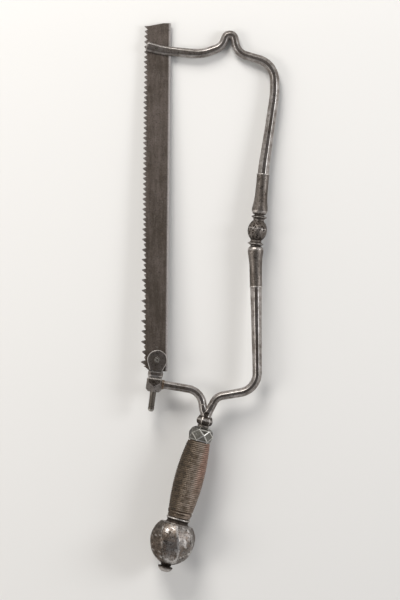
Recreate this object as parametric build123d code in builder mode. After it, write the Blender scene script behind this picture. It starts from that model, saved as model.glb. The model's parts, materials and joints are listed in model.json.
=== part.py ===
from build123d import *

import os
from math import cos, pi, radians, sin, sqrt, tan

# Amputation saw, lying on its side with its photographed face up.
# +Y runs along the blade towards its free end, +X from the blade towards the bow, +Z up.
# The origin is the middle of the butt face, at the free end of the handle. Millimetres.

# Fits
driven_gap = 0.05            # radial, between pieces that are driven or riveted together
running_gap = 0.06           # radial, between the blade and the pin that it swings on
sliding_gap = 0.10           # each side of the square shank in the eye block
tolerance = 0.01             # when edges are picked by where they lie

# Handle, stacked along its own axis from the butt
handle_lean = 14.5           # degrees between the handle and the blade
tang_radius = 3.0
tang_bottom = 3.0            # the tang stops this far above the butt face
button_face_radius = 4.0
button_rim_radius = 7.5
button_rim_height = 5.2
button_rim_thickness = 0.9
button_neck_radius = 4.8
button_neck_height = 3.0
pommel_length = 40.6
pommel_radius = 21.9         # from the axis to the middle of each flat
pommel_equator = 23.0        # height of the widest place above the pommel's lower end
pommel_bottom_radius = 6.0
pommel_top_radius = 15.5
pommel_flat_pairs = 4
pommel_turn = -4.0           # degrees that the front flat is turned from the saw's face
collar_height = 6.4
collar_neck_radius = 10.6
collar_rim_radius = 12.0
collar_rim_thickness = 1.3
grip_length = 79.4           # core between the pommel's collar and the ferrule
grip_end_radius = 11.2       # over the wire, as is the next
grip_middle_radius = 14.8
grip_spigot_radius = 7.5
grip_spigot_length = 4.0
wire_diameter = 2.1
wire_loops = 24
wire_lift = 0.10             # between the wire and the core that it lies on
wire_bend_radius = 2.3       # where each end of a wire turns into the core
slope_step = 0.1             # over which the slope of the grip's side is taken
end_wire_diameter = 1.6
end_wire_loops = 2
end_wire_space = 0.6         # between neighbouring loops of the end binding
winding_margin = 0.5         # from a winding to the piece beyond it
pocket_gap = 0.25            # around a wire where it dips into the core
ferrule_height = 14.5
ferrule_band_height = 2.0    # plain band next to the grip
ferrule_band_radius = 11.4
ferrule_low_radius = 11.9
ferrule_middle_radius = 12.7
ferrule_high_radius = 10.9
ferrule_top_radius = 7.6
ferrule_low_share = 0.12     # heights of the rings of corners, as shares of the faceted length
ferrule_middle_share = 0.48
ferrule_high_share = 0.86
facet_count = 8
ring_height = 2.4
ring_radius = 5.9
ring_round = 0.9
bead_height = 6.6
bead_radius = 7.9
bead_end_radius = 6.2
bead_widest_height = 3.0
yoke_waist_radius = 6.0
yoke_waist_height = 1.3
yoke_bulge_radius = 7.4
yoke_bulge_height = 6.5
yoke_height = 13.0
horn_root_height = 3.0       # where the middle lines of the two horns meet in the yoke

# Clevis, on an axis of its own through the blade's pivot
arm_reach = 48.55            # pivot to the top of the yoke's bead, across the blade
arm_rise = 58.05             # the same, along the blade
clevis_lean = 6.85           # degrees between the clevis and the blade
ear_radius = 10.0
ear_neck_width = 12.4
ear_neck_drop = 10.9         # pivot to the neck below the ears
ear_taper_drop = 4.9         # pivot to where the round ears begin to narrow
ear_thickness = 2.9
ear_chamfer = 0.7
shoulder_width = 13.8
shoulder_height = 7.1
shoulder_depth = 9.4
shoulder_chamfer = 0.9
slot_drop = 17.0             # pivot to the floor of the blade's slot
blade_side_gap = 0.2         # each side of the blade in the clevis and in the fork
shank_width = 7.0
shank_length = 10.4
stud_root_radius = 3.3       # where the stud passes the floor of the eye block
stud_root_proud = 0.4        # that the root stands out below the block when the stud is home
stud_radius = 3.1
stud_length = 23.6
stud_tip_fillet = 2.3
stud_ring_width = 0.8
stud_ring_depth = 0.3
stud_ring_from_tip = 5.6
clevis_pin_radius = 1.7
washer_radius = 2.9
washer_thickness = 0.6
pin_dimple_radius = 0.9
pin_dimple_depth = 0.5
slide_travel = 2.0           # slack that the stud gives when it is let go

# Eye block that the clevis is drawn into
block_seat_gap = 0.4         # under the clevis shoulder when the stud is home
block_width = 15.6
block_height = 13.6
block_depth = 11.2
block_top_chamfer = 0.9
block_side_chamfer = 1.9
block_bottom_chamfer = 2.4
block_floor = 3.0            # below the square hole, around the round stud
arm_drop = 5.4               # block top to the middle of the arm
mortise_width = 4.6
mortise_depth = 3.4

# Blade
blade_thickness = 1.6
back_offset = 10.25          # pivot to the back edge
blade_width = 23.0           # back edge to the roots of the teeth
tooth_depth = 3.0
tooth_pitch = 5.2
tooth_tip_share = 0.42       # where the tip stands between two roots, from the upper one
long_tooth_extra = 0.9       # the coarse teeth near the handle reach this much deeper
short_tooth_loss = 0.9       # and every second one there is worn this much shorter
coarse_share = 0.42          # of the toothed edge is coarse
blade_tail = 11.4            # pivot to the lower end
tail_corner = 5.6            # size of the cut corner at the lower end
blade_head = 25.7            # hook pin to the free end
head_slope = 3.2             # the free end falls this much towards the teeth
head_corner_reach = 1.6      # its toothed corner stands this far past the roots
head_flat = 7.5              # length of the free end that stays square to the back

# Upper fork and the pin that the blade hooks on
hook_span = 311.1            # pivot to hook pin, along the blade
hook_offset = 3.75           # and across it, towards the teeth
hook_pin_radius = 1.5
hook_gap = 0.3               # around the hook pin in the blade's slot
fork_root_gap = 2.4          # behind the blade's back edge
fork_depth = 7.4
fork_overhang = 10.2         # hook pin to the tip of the fork
fork_tip_rise = 2.5          # the tip stands this much above the hook pin

# Bow
bow_offset = 98.65           # pivot to the middle of the knop, across the blade
knop_drop = 180.6            # hook pin to the middle of the knop, along the blade
knop_lean = 7.0
knop_half_length = 14.4
knop_radius = 9.7
knop_side_radius = 9.0
knop_side_share = 0.42       # height of its second ring of corners, as a share of half the ball
knop_neck_radius = 5.7
flange_radius = 8.2
flange_thickness = 2.2
flange_edge_drop = 0.9       # flange face to its sharp edge
flange_face_radius = 5.7
flange_face_height = 0.4     # that the middle of the face stands proud
flange_hollow_radius = 5.3   # of the hollow between ball and flange
flange_hollow_length = 0.8
flange_root_gap = 2.4        # ball to the flange
spool_radius = 4.9
spool_length = 1.6
sleeve_length = 41.0
sleeve_foot_radius = 5.7
sleeve_belly_radius = 7.9
sleeve_belly_height = 4.9
sleeve_middle_radius = 6.3
sleeve_middle_height = 18.5
sleeve_rim_radius = 6.2
sleeve_rim_length = 2.0
upper_sleeve_lean = 4.9
lower_sleeve_lean = -1.4
tenon_radius = 3.6
tenon_reach = 5.0            # how far a tenon enters the knop
bar_corner_share = 0.29      # chamfer of the bars against their width
run_share = 0.99             # of a straight run that the bends at its ends may take up
upper_bar_widths = [(0, 11.2), (0.2, 9.7), (0.42, 9.2), (0.55, 8.3), (0.66, 8.4), (0.8, 9.0), (1, 9.0)]
lower_bar_widths = [(0, 11.6), (0.35, 10.2), (0.52, 9.6), (0.7, 8.9), (1, 8.1)]
arm_bar_widths = [(0, 8.0), (0.5, 8.0), (1, 8.1)]
horn_widths = [(0, 8.1), (1, 7.4)]
braze_width = 0.9
braze_length = 2.2
braze_taper = 15             # degrees

# Bends of the bow, from the upper sleeve round to the fork. Corners lie where the straight
# middle lines would cross, across the blade from the bow's line and along it from the hook pin.
sleeve_lead = 8.0            # straight stretch above the upper sleeve
lead_radius = 60.0
back_corner_across = 16.2
back_corner_along = -42.9
back_corner_radius = 110.0
shoulder_across = 15.1
shoulder_along = -14.1
shoulder_radius = 22.0
curl_radius = 4.6            # middle of the bar round the curl
curl_across = -29.4
curl_along = 10.3
curl_left_lean = 20.0        # degrees, of the leg towards the blade
curl_right_lean = 12.0
curl_left_foot = 2.8         # corner below each leg, above the hook pin
curl_right_foot = -3.1
curl_left_radius = 14.0
curl_right_radius = 15.0
sag_across = -57.4
sag_along = -5.2
sag_radius = 42.0
fork_corner_across = 4.3     # from the hook pin, as is the next
fork_corner_along = -1.5
fork_radius = 110.0

# Bends between the yoke, the eye block and the bow, from the top of the yoke's bead
arm_corner_across = -4.7
arm_corner_along = 27.6
heel_across = 11.3
heel_along = 21.9
left_horn_across = -1.9
left_horn_along = 8.1
right_horn_across = 4.4
right_horn_along = 9.2
horn_length = 6.3            # horn corner to the joint with its bar
horn_radius = 12.0
arm_lead = 6.0               # straight stretch square to the eye block
arm_corner_radius = 17.5
heel_radius = 12.0
bend_rise = 29.3             # to the lower corner of the bow
bend_radius = 20.0

# Heights along the handle
button_top = button_rim_height + button_neck_height
pommel_top = button_top + pommel_length
collar_top = pommel_top + collar_height
grip_top = collar_top + grip_length
ferrule_top = grip_top + ferrule_height
ring_top = ferrule_top + ring_height
bead_top = ring_top + bead_height

# Directions and anchor points
handle_axis = Vector(sin(radians(handle_lean)), cos(radians(handle_lean)), 0)
handle_side = Vector(cos(radians(handle_lean)), -sin(radians(handle_lean)), 0)
handle_line = Axis((0, 0, 0), handle_axis)
handle_section = Plane((0, 0, 0), x_dir=handle_side, z_dir=(0, 0, 1))
yoke_point = handle_axis * bead_top
pivot = yoke_point + Vector(-arm_reach, arm_rise, 0)
hook = pivot + Vector(-hook_offset, hook_span, 0)
back_x = pivot.X + back_offset
clevis_axis = Vector(sin(radians(clevis_lean)), cos(radians(clevis_lean)), 0)
clevis_side = Vector(cos(radians(clevis_lean)), -sin(radians(clevis_lean)), 0)
clevis_front = Plane(pivot, x_dir=clevis_side, z_dir=(0, 0, 1))
ear_half_depth = blade_thickness / 2 + blade_side_gap + ear_thickness
shoulder_bottom = ear_neck_drop + shoulder_height
block_top = shoulder_bottom + block_seat_gap
shank_bottom = shoulder_bottom + shank_length
stud_root_bottom = block_top + block_height + stud_root_proud
arm_start = pivot - clevis_axis * (block_top + arm_drop) + clevis_side * (block_width / 2)
bow_x = pivot.X + bow_offset
bow_line = Vector(bow_x, hook.Y)
knop_middle = Vector(bow_x, hook.Y - knop_drop)
knop_axis = Vector(sin(radians(knop_lean)), cos(radians(knop_lean)), 0)
upper_axis = Vector(sin(radians(upper_sleeve_lean)), cos(radians(upper_sleeve_lean)), 0)
lower_axis = Vector(-sin(radians(lower_sleeve_lean)), -cos(radians(lower_sleeve_lean)), 0)
upper_spool = knop_middle + knop_axis * knop_half_length
lower_spool = knop_middle - knop_axis * knop_half_length
upper_seat = upper_spool + upper_axis * spool_length
lower_seat = lower_spool + lower_axis * spool_length
upper_bar_start = upper_seat + upper_axis * sleeve_length
lower_bar_start = lower_seat + lower_axis * sleeve_length
back_corner = bow_line + Vector(back_corner_across, back_corner_along)
shoulder_corner = bow_line + Vector(shoulder_across, shoulder_along)
curl_middle = bow_line + Vector(curl_across, curl_along)
sag_corner = bow_line + Vector(sag_across, sag_along)
fork_corner = hook + Vector(fork_corner_across, fork_corner_along)
arm_corner = yoke_point + Vector(arm_corner_across, arm_corner_along)
heel_corner = yoke_point + Vector(heel_across, heel_along)
left_horn_corner = yoke_point + Vector(left_horn_across, left_horn_along)
right_horn_corner = yoke_point + Vector(right_horn_across, right_horn_along)
left_joint = left_horn_corner + (arm_corner - left_horn_corner).normalized() * horn_length
right_joint = right_horn_corner + (heel_corner - right_horn_corner).normalized() * horn_length

# Windings: lowest and highest middle of the wire, loops and diameter
end_winding_low = collar_top + winding_margin + end_wire_diameter / 2
end_winding_high = end_winding_low + end_wire_loops * (end_wire_diameter + end_wire_space)
winding_low = end_winding_high + end_wire_diameter / 2 + winding_margin + wire_diameter / 2
winding_high = grip_top - winding_margin - wire_diameter / 2
end_winding = (end_winding_low, end_winding_high, end_wire_loops, end_wire_diameter)
main_winding = (winding_low, winding_high, wire_loops, wire_diameter)


def handle_cut(angle):
    """A plane through the handle's axis, turned about it, with +Y along the axis."""
    side = handle_side * cos(radians(angle)) + Vector(0, 0, 1) * sin(radians(angle))
    return Plane((0, 0, 0), x_dir=side, z_dir=side.cross(handle_axis))


def level(height):
    """A plane square to the handle's axis at a height above the butt."""
    return Plane(handle_axis * height, x_dir=handle_side, z_dir=handle_axis)


def clevis_level(drop):
    """A plane square to the clevis axis, facing the handle, this far below the pivot."""
    return Plane(pivot - clevis_axis * drop, x_dir=clevis_side, z_dir=-clevis_axis)


def finish(part, name):
    """Label a finished piece and write it."""
    part.label = name
    export_step(part, f"parts/{name}.step")


def fitted_radii(points, wanted):
    """The wanted bend radii, smaller where the bends at both ends of a run would overlap."""
    reaches = [0.0]
    for before, corner, after, radius in zip(points, points[1:], points[2:], wanted):
        turn = radians((corner - before).get_angle(after - corner))
        reaches.append(radius * tan(turn / 2))
    reaches.append(0.0)
    room = []
    for number in range(len(points) - 1):
        run = (points[number + 1] - points[number]).length
        taken = reaches[number] + reaches[number + 1]
        room.append(run_share * run / max(taken, tolerance))
    return [radius * min(1, room[k], room[k + 1]) for k, radius in enumerate(wanted)]


def bar(points, corner_radii, widths):
    """Add an octagonal bar along rounded corners, tapering evenly between its stations."""
    with BuildLine() as route:
        FilletPolyline(*points, radius=fitted_radii(points, corner_radii))
    path = route.wire()
    sections = []
    for share, width in widths:
        place = path.position_at(share * path.length, position_mode=PositionMode.LENGTH)
        heading = path.tangent_at(share * path.length, position_mode=PositionMode.LENGTH)
        with BuildSketch(Plane(place, x_dir=(0, 0, 1), z_dir=heading)) as section:
            Rectangle(width, width)
            chamfer(section.vertices(), width * bar_corner_share)
        sections.append(section.sketch)
    sweep(sections=sections, path=path, multisection=True)


def facet_band(rings, plane):
    """Add a turned stone's shape: rings of corners joined by triangles, each ring half a facet round."""
    corners = []
    for number, (height, radius) in enumerate(rings):
        start = 180 / facet_count * (number % 2)
        turns = [radians(start + 360 / facet_count * k) for k in range(facet_count)]
        corners.append([plane.from_local_coords((radius * cos(t), radius * sin(t), height)) for t in turns])
    faces = [Face(Wire.make_polygon(corners[0])), Face(Wire.make_polygon(corners[-1]))]
    for number in range(len(corners) - 1):
        low = corners[number]
        high = corners[number + 1]
        for k in range(facet_count):
            after = (k + 1) % facet_count
            tip = k if number % 2 == 0 else after
            faces.append(Face(Wire.make_polygon([low[k], low[after], high[tip]])))
            base = after if number % 2 == 0 else k
            faces.append(Face(Wire.make_polygon([high[k], high[after], low[base]])))
    add(Solid(Shell(faces)))


# Handle

def make_end_button():
    with BuildPart() as part:
        with BuildSketch(handle_section):
            with BuildLine():
                rim_low = button_rim_height - button_rim_thickness
                Line((0, 0), (button_face_radius, 0))
                TangentArc((button_face_radius, 0), (button_rim_radius, rim_low), tangent=(1, 0))
                Line((button_rim_radius, rim_low), (button_rim_radius, button_rim_height))
                Line((button_rim_radius, button_rim_height), (button_neck_radius, button_rim_height))
                Line((button_neck_radius, button_rim_height), (button_neck_radius, button_top))
                Line((button_neck_radius, button_top), (0, button_top))
                Line((0, button_top), (0, 0))
            make_face()
        revolve(axis=handle_line)
        with BuildSketch(level(tang_bottom)):
            Circle(tang_radius + driven_gap)
        extrude(amount=button_top - tang_bottom, mode=Mode.SUBTRACT)
    finish(part.part, "end_button")


def make_pommel():
    with BuildPart() as part:
        for number in range(pommel_flat_pairs):
            with BuildSketch(handle_cut(pommel_turn + 180 / pommel_flat_pairs * number)):
                with BuildLine():
                    widest = (pommel_radius, button_top + pommel_equator)
                    low = (pommel_bottom_radius, button_top)
                    high = (pommel_top_radius, pommel_top)
                    TangentArc(widest, low, tangent=(0, -1))
                    TangentArc(widest, high, tangent=(0, 1))
                    Line(low, (0, button_top))
                    Line((0, button_top), (0, pommel_top))
                    Line((0, pommel_top), high)
                make_face()
                mirror(about=Plane.YZ)
            keep = Mode.ADD if number == 0 else Mode.INTERSECT
            extrude(amount=2 * pommel_radius, both=True, mode=keep)
        with BuildSketch(level(button_top)):
            Circle(tang_radius + driven_gap)
        extrude(amount=pommel_length, mode=Mode.SUBTRACT)
    finish(part.part, "pommel")


def make_pommel_collar():
    with BuildPart() as part:
        with BuildSketch(handle_section):
            with BuildLine():
                rim_low = collar_top - collar_rim_thickness
                bore = tang_radius + driven_gap
                Line((bore, pommel_top), (collar_rim_radius, pommel_top))
                neck = (collar_neck_radius, (pommel_top + rim_low) / 2)
                ThreePointArc((collar_rim_radius, pommel_top), neck, (collar_rim_radius, rim_low))
                Line((collar_rim_radius, rim_low), (collar_rim_radius, collar_top))
                Line((collar_rim_radius, collar_top), (bore, collar_top))
                Line((bore, collar_top), (bore, pommel_top))
            make_face()
        revolve(axis=handle_line)
    finish(part.part, "pommel_collar")


def barrel_radius(height):
    """Radius of the wound grip at a height, on one arc through its ends and middle."""
    rise = grip_middle_radius - grip_end_radius
    arc_radius = ((grip_length / 2) ** 2 + rise ** 2) / (2 * rise)
    from_middle = height - collar_top - grip_length / 2
    return grip_middle_radius - arc_radius + sqrt(arc_radius ** 2 - from_middle ** 2)


def winding_points(low, high, loops, diameter):
    """Half-turn points of a winding over the core, with the direction of the wire at each."""
    steps = 2 * loops
    points = []
    for step in range(steps + 1):
        turn = pi * step
        height = low + (high - low) * step / steps
        radius = barrel_radius(height) - diameter / 2
        outward = handle_side * cos(turn) + Vector(0, 0, 1) * sin(turn)
        around = Vector(0, 0, 1) * cos(turn) - handle_side * sin(turn)
        rate = (high - low) / (2 * pi * loops)
        above = barrel_radius(height + slope_step / 2)
        slope = (above - barrel_radius(height - slope_step / 2)) / slope_step
        heading = around * radius + handle_axis * rate + outward * (slope * rate)
        points.append((handle_axis * height + outward * radius, heading.normalized(), outward))
    return points


def biarc(start, start_heading, end, end_heading):
    """Two arcs that leave start and reach end in the given directions."""
    span = end - start
    both = start_heading + end_heading
    spread = 2 * (1 - start_heading.dot(end_heading))
    reach = (sqrt(span.dot(both) ** 2 + spread * span.dot(span)) - span.dot(both)) / spread
    middle = (start + end) * 0.5 + (start_heading - end_heading) * (reach / 2)
    first = TangentArc(start, middle, tangent=start_heading)
    TangentArc(middle, end, tangent=first % 1)


def winding_ends(points, diameter):
    """For each end of a winding: the bend's foot in the core, and the end of the straight below it."""
    feet = []
    for (place, heading, outward), way in ((points[0], -1), (points[-1], 1)):
        foot = place + heading * (way * wire_bend_radius) - outward * wire_bend_radius
        away = (heading - outward * heading.dot(outward)).normalized() * way
        feet.append((foot, foot - outward * diameter, outward, away))
    return feet


def make_winding(name, low, high, loops, diameter):
    points = winding_points(low, high, loops, diameter)
    first, last = winding_ends(points, diameter)
    first_foot, first_end, first_out, _ = first
    last_foot, last_end, last_out, _ = last
    with BuildPart() as part:
        with BuildLine() as route:
            Line(first_end, first_foot)
            biarc(first_foot, first_out, points[0][0], points[0][1])
            for before, after in zip(points, points[1:]):
                biarc(before[0], before[1], after[0], after[1])
            biarc(points[-1][0], points[-1][1], last_foot, last_out * -1)
            Line(last_foot, last_end)
        path = route.wire()
        with BuildSketch(Plane(first_end, z_dir=first_out)):
            Circle(diameter / 2)
        sweep(path=path)
    print_gap(name, path, len(points) - 1, diameter)
    finish(part.part, name)


def print_gap(name, path, half_turns, diameter):
    """Print the least gap between stretches of a winding that are a half turn or more apart."""
    per_half_turn = 18
    count = per_half_turn * half_turns
    step = path.length / count
    spots = [path.position_at(k * step, position_mode=PositionMode.LENGTH) for k in range(count + 1)]
    least = min((spots[i] - spots[j]).length for i in range(count) for j in range(i + per_half_turn, count))
    print(f"{name}: least gap to itself {least - diameter:.2f} mm, wire {path.length:.0f} mm long")


def cut_pockets(low, high, loops, diameter):
    """Cut the pockets in the core where both ends of a winding dip in."""
    points = winding_points(low, high, loops, diameter)
    for foot, end, outward, away in winding_ends(points, diameter):
        width = diameter + 2 * pocket_gap
        length = wire_bend_radius + diameter + 2 * pocket_gap
        depth = wire_bend_radius + 2 * diameter
        middle = end - away * (wire_bend_radius / 2)
        with BuildSketch(Plane(middle, x_dir=away, z_dir=outward)) as mouth:
            Rectangle(length, width)
        extrude(mouth.sketch, amount=depth, mode=Mode.SUBTRACT)


def make_grip_core():
    under_wire = wire_diameter + wire_lift
    under_end_wire = end_wire_diameter + wire_lift
    step_height = (end_winding_high + winding_low) / 2
    with BuildPart() as part:
        with BuildSketch(handle_section):
            with BuildLine():
                low = (barrel_radius(collar_top) - under_end_wire, collar_top)
                step_out = (barrel_radius(step_height) - under_end_wire, step_height)
                step_in = (barrel_radius(step_height) - under_wire, step_height)
                middle_height = (step_height + grip_top) / 2
                middle = (barrel_radius(middle_height) - under_wire, middle_height)
                high = (barrel_radius(grip_top) - under_wire, grip_top)
                shoulder = (grip_spigot_radius, grip_top)
                spigot = (grip_spigot_radius, grip_top + grip_spigot_length)
                bore = tang_radius + driven_gap
                Polyline((bore, collar_top), low, step_out, step_in)
                ThreePointArc(step_in, middle, high)
                Polyline(high, shoulder, spigot, (bore, spigot[1]), (bore, collar_top))
            make_face()
        revolve(axis=handle_line)
        cut_pockets(*end_winding)
        cut_pockets(*main_winding)
    finish(part.part, "grip_core")


def make_grip_ferrule():
    faceted = ferrule_height - ferrule_band_height
    with BuildPart() as part:
        rings = [
            (0, ferrule_band_radius),
            (faceted * ferrule_low_share, ferrule_low_radius),
            (faceted * ferrule_middle_share, ferrule_middle_radius),
            (faceted * ferrule_high_share, ferrule_high_radius),
            (faceted, ferrule_top_radius),
        ]
        facet_band(rings, level(grip_top + ferrule_band_height))
        with BuildSketch(level(grip_top)):
            Circle(ferrule_band_radius)
        extrude(amount=ferrule_band_height)
        with BuildSketch(level(grip_top)):
            Circle(grip_spigot_radius + driven_gap)
        extrude(amount=grip_spigot_length, mode=Mode.SUBTRACT)
        with BuildSketch(level(grip_top)):
            Circle(tang_radius + driven_gap)
        extrude(amount=ferrule_height, mode=Mode.SUBTRACT)
    finish(part.part, "grip_ferrule")


def make_neck_ring():
    with BuildPart() as part:
        with BuildSketch(level(ferrule_top)):
            Circle(ring_radius)
            Circle(tang_radius + driven_gap, mode=Mode.SUBTRACT)
        extrude(amount=ring_height)
        fillet(part.edges().filter_by(GeomType.CIRCLE).group_by(SortBy.RADIUS)[-1], ring_round)
    finish(part.part, "neck_ring")


def make_yoke_bead():
    with BuildPart() as part:
        with BuildSketch(handle_section):
            with BuildLine():
                bore = tang_radius + driven_gap
                widest = (bead_radius, ring_top + bead_widest_height)
                Line((bore, ring_top), (bead_end_radius, ring_top))
                ThreePointArc((bead_end_radius, ring_top), widest, (bead_end_radius, bead_top))
                Line((bead_end_radius, bead_top), (bore, bead_top))
                Line((bore, bead_top), (bore, ring_top))
            make_face()
        revolve(axis=handle_line)
    finish(part.part, "yoke_bead")


def make_yoke():
    root = yoke_point + handle_axis * horn_root_height
    with BuildPart() as part:
        with BuildSketch(handle_section):
            with BuildLine():
                waist = (yoke_waist_radius, bead_top + yoke_waist_height)
                bulge = (yoke_bulge_radius, bead_top + yoke_bulge_height)
                Line((0, bead_top), (yoke_waist_radius, bead_top))
                Line((yoke_waist_radius, bead_top), waist)
                Spline(waist, bulge, (0, bead_top + yoke_height), tangents=[(0, 1), (-1, 0)])
                Line((0, bead_top + yoke_height), (0, bead_top))
            make_face()
        revolve(axis=handle_line)
        with BuildSketch(level(tang_bottom)):
            Circle(tang_radius)
        extrude(amount=bead_top - tang_bottom)
        bar([left_joint, left_horn_corner, root], [horn_radius], horn_widths)
        bar([right_joint, right_horn_corner, root], [horn_radius], horn_widths)
    finish(part.part, "yoke")


# Clevis, its pin and the eye block

def make_tension_clevis():
    with BuildPart() as part:
        with BuildSketch(clevis_front):
            Circle(ear_radius)
            edge = sqrt(ear_radius ** 2 - ear_taper_drop ** 2)
            half = ear_neck_width / 2
            with BuildLine():
                top = [(-edge, -ear_taper_drop), (edge, -ear_taper_drop)]
                bottom = [(half, -ear_neck_drop), (-half, -ear_neck_drop)]
                Polyline(*top, *bottom, close=True)
            make_face()
        extrude(amount=ear_half_depth, both=True)
        outline = part.edges().filter_by(lambda e: abs(abs(e.center().Z) - ear_half_depth) < tolerance)
        lowest = -ear_neck_drop + tolerance
        rim = outline.filter_by(lambda e: clevis_front.to_local_coords(e.center()).Y > lowest)
        chamfer(rim, ear_chamfer)
        with BuildSketch(clevis_level(ear_neck_drop)):
            Rectangle(shoulder_width, shoulder_depth)
        extrude(amount=shoulder_height)
        corners = part.edges().filter_by(lambda e: abs(e.length - shoulder_height) < tolerance)
        chamfer(corners, shoulder_chamfer)
        with BuildSketch(clevis_front):
            with Locations((0, -slot_drop / 2 + ear_radius)):
                Rectangle(2 * shoulder_width, slot_drop + 2 * ear_radius)
        extrude(amount=blade_thickness / 2 + blade_side_gap, both=True, mode=Mode.SUBTRACT)
        with BuildSketch(clevis_level(shoulder_bottom)):
            Rectangle(shank_width, shank_width)
        extrude(amount=shank_length)
        with BuildSketch(clevis_level(shank_bottom)):
            Circle(stud_radius)
        extrude(amount=stud_length)
        tip = part.edges().filter_by(GeomType.CIRCLE).sort_by(Axis(pivot, clevis_axis))[0]
        fillet(tip, stud_tip_fillet)
        with BuildSketch(clevis_level(shank_bottom)):
            Circle(stud_root_radius)
        extrude(amount=stud_root_bottom - shank_bottom)
        with BuildSketch(clevis_level(shank_bottom + stud_length - stud_ring_from_tip)):
            Circle(stud_root_radius)
            Circle(stud_radius - stud_ring_depth, mode=Mode.SUBTRACT)
        extrude(amount=stud_ring_width, mode=Mode.SUBTRACT)
        with BuildSketch(clevis_front):
            Circle(clevis_pin_radius + driven_gap)
        extrude(amount=ear_half_depth, both=True, mode=Mode.SUBTRACT)
    finish(part.part, "tension_clevis")


def make_clevis_pin():
    half_length = ear_half_depth + washer_thickness
    with BuildPart() as part:
        with BuildSketch(Plane(pivot)):
            Circle(clevis_pin_radius)
        extrude(amount=half_length, both=True)
        for end in (-1, 1):
            with BuildSketch(Plane(pivot + Vector(0, 0, end * half_length), z_dir=(0, 0, -end))):
                Circle(pin_dimple_radius)
            extrude(amount=pin_dimple_depth, mode=Mode.SUBTRACT)
    finish(part.part, "clevis_pin")


def make_clevis_pin_washers():
    with BuildPart() as part:
        for end in (-1, 1):
            with BuildSketch(Plane(pivot + Vector(0, 0, end * ear_half_depth), z_dir=(0, 0, end))):
                Circle(washer_radius)
                Circle(clevis_pin_radius + driven_gap, mode=Mode.SUBTRACT)
            extrude(amount=washer_thickness)
    finish(part.part, "clevis_pin_washers")


def make_eye_block():
    with BuildPart() as part:
        with BuildSketch(clevis_level(block_top)):
            Rectangle(block_width, block_depth)
        extrude(amount=block_height)
        along = part.edges().filter_by(Axis((0, 0, 0), clevis_axis))
        chamfer(along, block_side_chamfer)
        down = Axis(pivot, clevis_axis * -1)
        ends = part.faces().sort_by(down)
        chamfer(ends[-1].edges(), block_bottom_chamfer)
        ends = part.faces().sort_by(down)
        chamfer(ends[0].edges(), block_top_chamfer)
        with BuildSketch(clevis_level(block_top)):
            Rectangle(shank_width + 2 * sliding_gap, shank_width + 2 * sliding_gap)
        extrude(amount=block_height - block_floor, mode=Mode.SUBTRACT)
        with BuildSketch(clevis_level(block_top)):
            Circle(stud_root_radius + sliding_gap)
        extrude(amount=block_height, mode=Mode.SUBTRACT)
        with BuildSketch(Plane(arm_start, x_dir=(0, 0, 1), z_dir=clevis_side * -1)):
            Rectangle(mortise_width + 2 * driven_gap, mortise_width + 2 * driven_gap)
        extrude(amount=mortise_depth, mode=Mode.SUBTRACT)
    finish(part.part, "eye_block")


# Bow

def make_lower_arm():
    with BuildPart() as part:
        points = [arm_start, arm_start + clevis_side * arm_lead, arm_corner, left_joint]
        bar(points, [lead_radius, arm_corner_radius], arm_bar_widths)
        with BuildSketch(Plane(arm_start, x_dir=(0, 0, 1), z_dir=clevis_side * -1)):
            Rectangle(mortise_width, mortise_width)
        extrude(amount=mortise_depth)
    finish(part.part, "lower_arm")


def make_arm_braze():
    inner = arm_bar_widths[0][1] + 2 * driven_gap
    with BuildPart() as part:
        with BuildSketch(Plane(arm_start, x_dir=(0, 0, 1), z_dir=clevis_side)) as section:
            Rectangle(inner + 2 * braze_width, inner + 2 * braze_width)
            chamfer(section.vertices(), inner * bar_corner_share)
        extrude(amount=braze_length, taper=braze_taper)
        with BuildSketch(Plane(arm_start, x_dir=(0, 0, 1), z_dir=clevis_side)) as section:
            Rectangle(inner, inner)
            chamfer(section.vertices(), inner * bar_corner_share)
        extrude(amount=braze_length, mode=Mode.SUBTRACT)
    finish(part.part, "arm_braze")


def section_plane(place, axis):
    """A plane through an axis in the saw's flat, with +Y along the axis."""
    return Plane(place, x_dir=axis.cross(Vector(0, 0, 1)), z_dir=(0, 0, 1))


def make_centre_knop():
    ball_half = knop_half_length - flange_thickness - flange_root_gap
    with BuildPart() as part:
        rings = [
            (-ball_half, knop_neck_radius),
            (-ball_half * knop_side_share, knop_side_radius),
            (0, knop_radius),
            (ball_half * knop_side_share, knop_side_radius),
            (ball_half, knop_neck_radius),
        ]
        facet_band(rings, Plane(knop_middle, z_dir=knop_axis))
        with BuildSketch(section_plane(knop_middle, knop_axis)):
            with BuildLine():
                corners = [
                    (0, 0),
                    (knop_neck_radius, 0),
                    (knop_neck_radius, ball_half),
                    (flange_hollow_radius, knop_half_length - flange_thickness - flange_hollow_length),
                    (flange_radius, knop_half_length - flange_edge_drop),
                    (flange_face_radius, knop_half_length + flange_face_height),
                    (0, knop_half_length + flange_face_height),
                ]
                Polyline(*corners, close=True)
            make_face()
            mirror(about=Plane.XZ)
        revolve(axis=Axis(knop_middle, knop_axis))
        for seat, axis in ((upper_seat, upper_axis), (lower_seat, lower_axis)):
            with BuildSketch(Plane(seat, z_dir=axis * -1)):
                Circle(spool_radius)
            extrude(amount=spool_length * 2)
            with BuildSketch(Plane(seat, z_dir=axis)):
                Circle(flange_radius * 2)
            extrude(amount=spool_length * 2, mode=Mode.SUBTRACT)
            with BuildSketch(Plane(seat, z_dir=axis * -1)):
                Circle(tenon_radius + driven_gap)
            extrude(amount=tenon_reach, mode=Mode.SUBTRACT)
    finish(part.part, "centre_knop")


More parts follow.
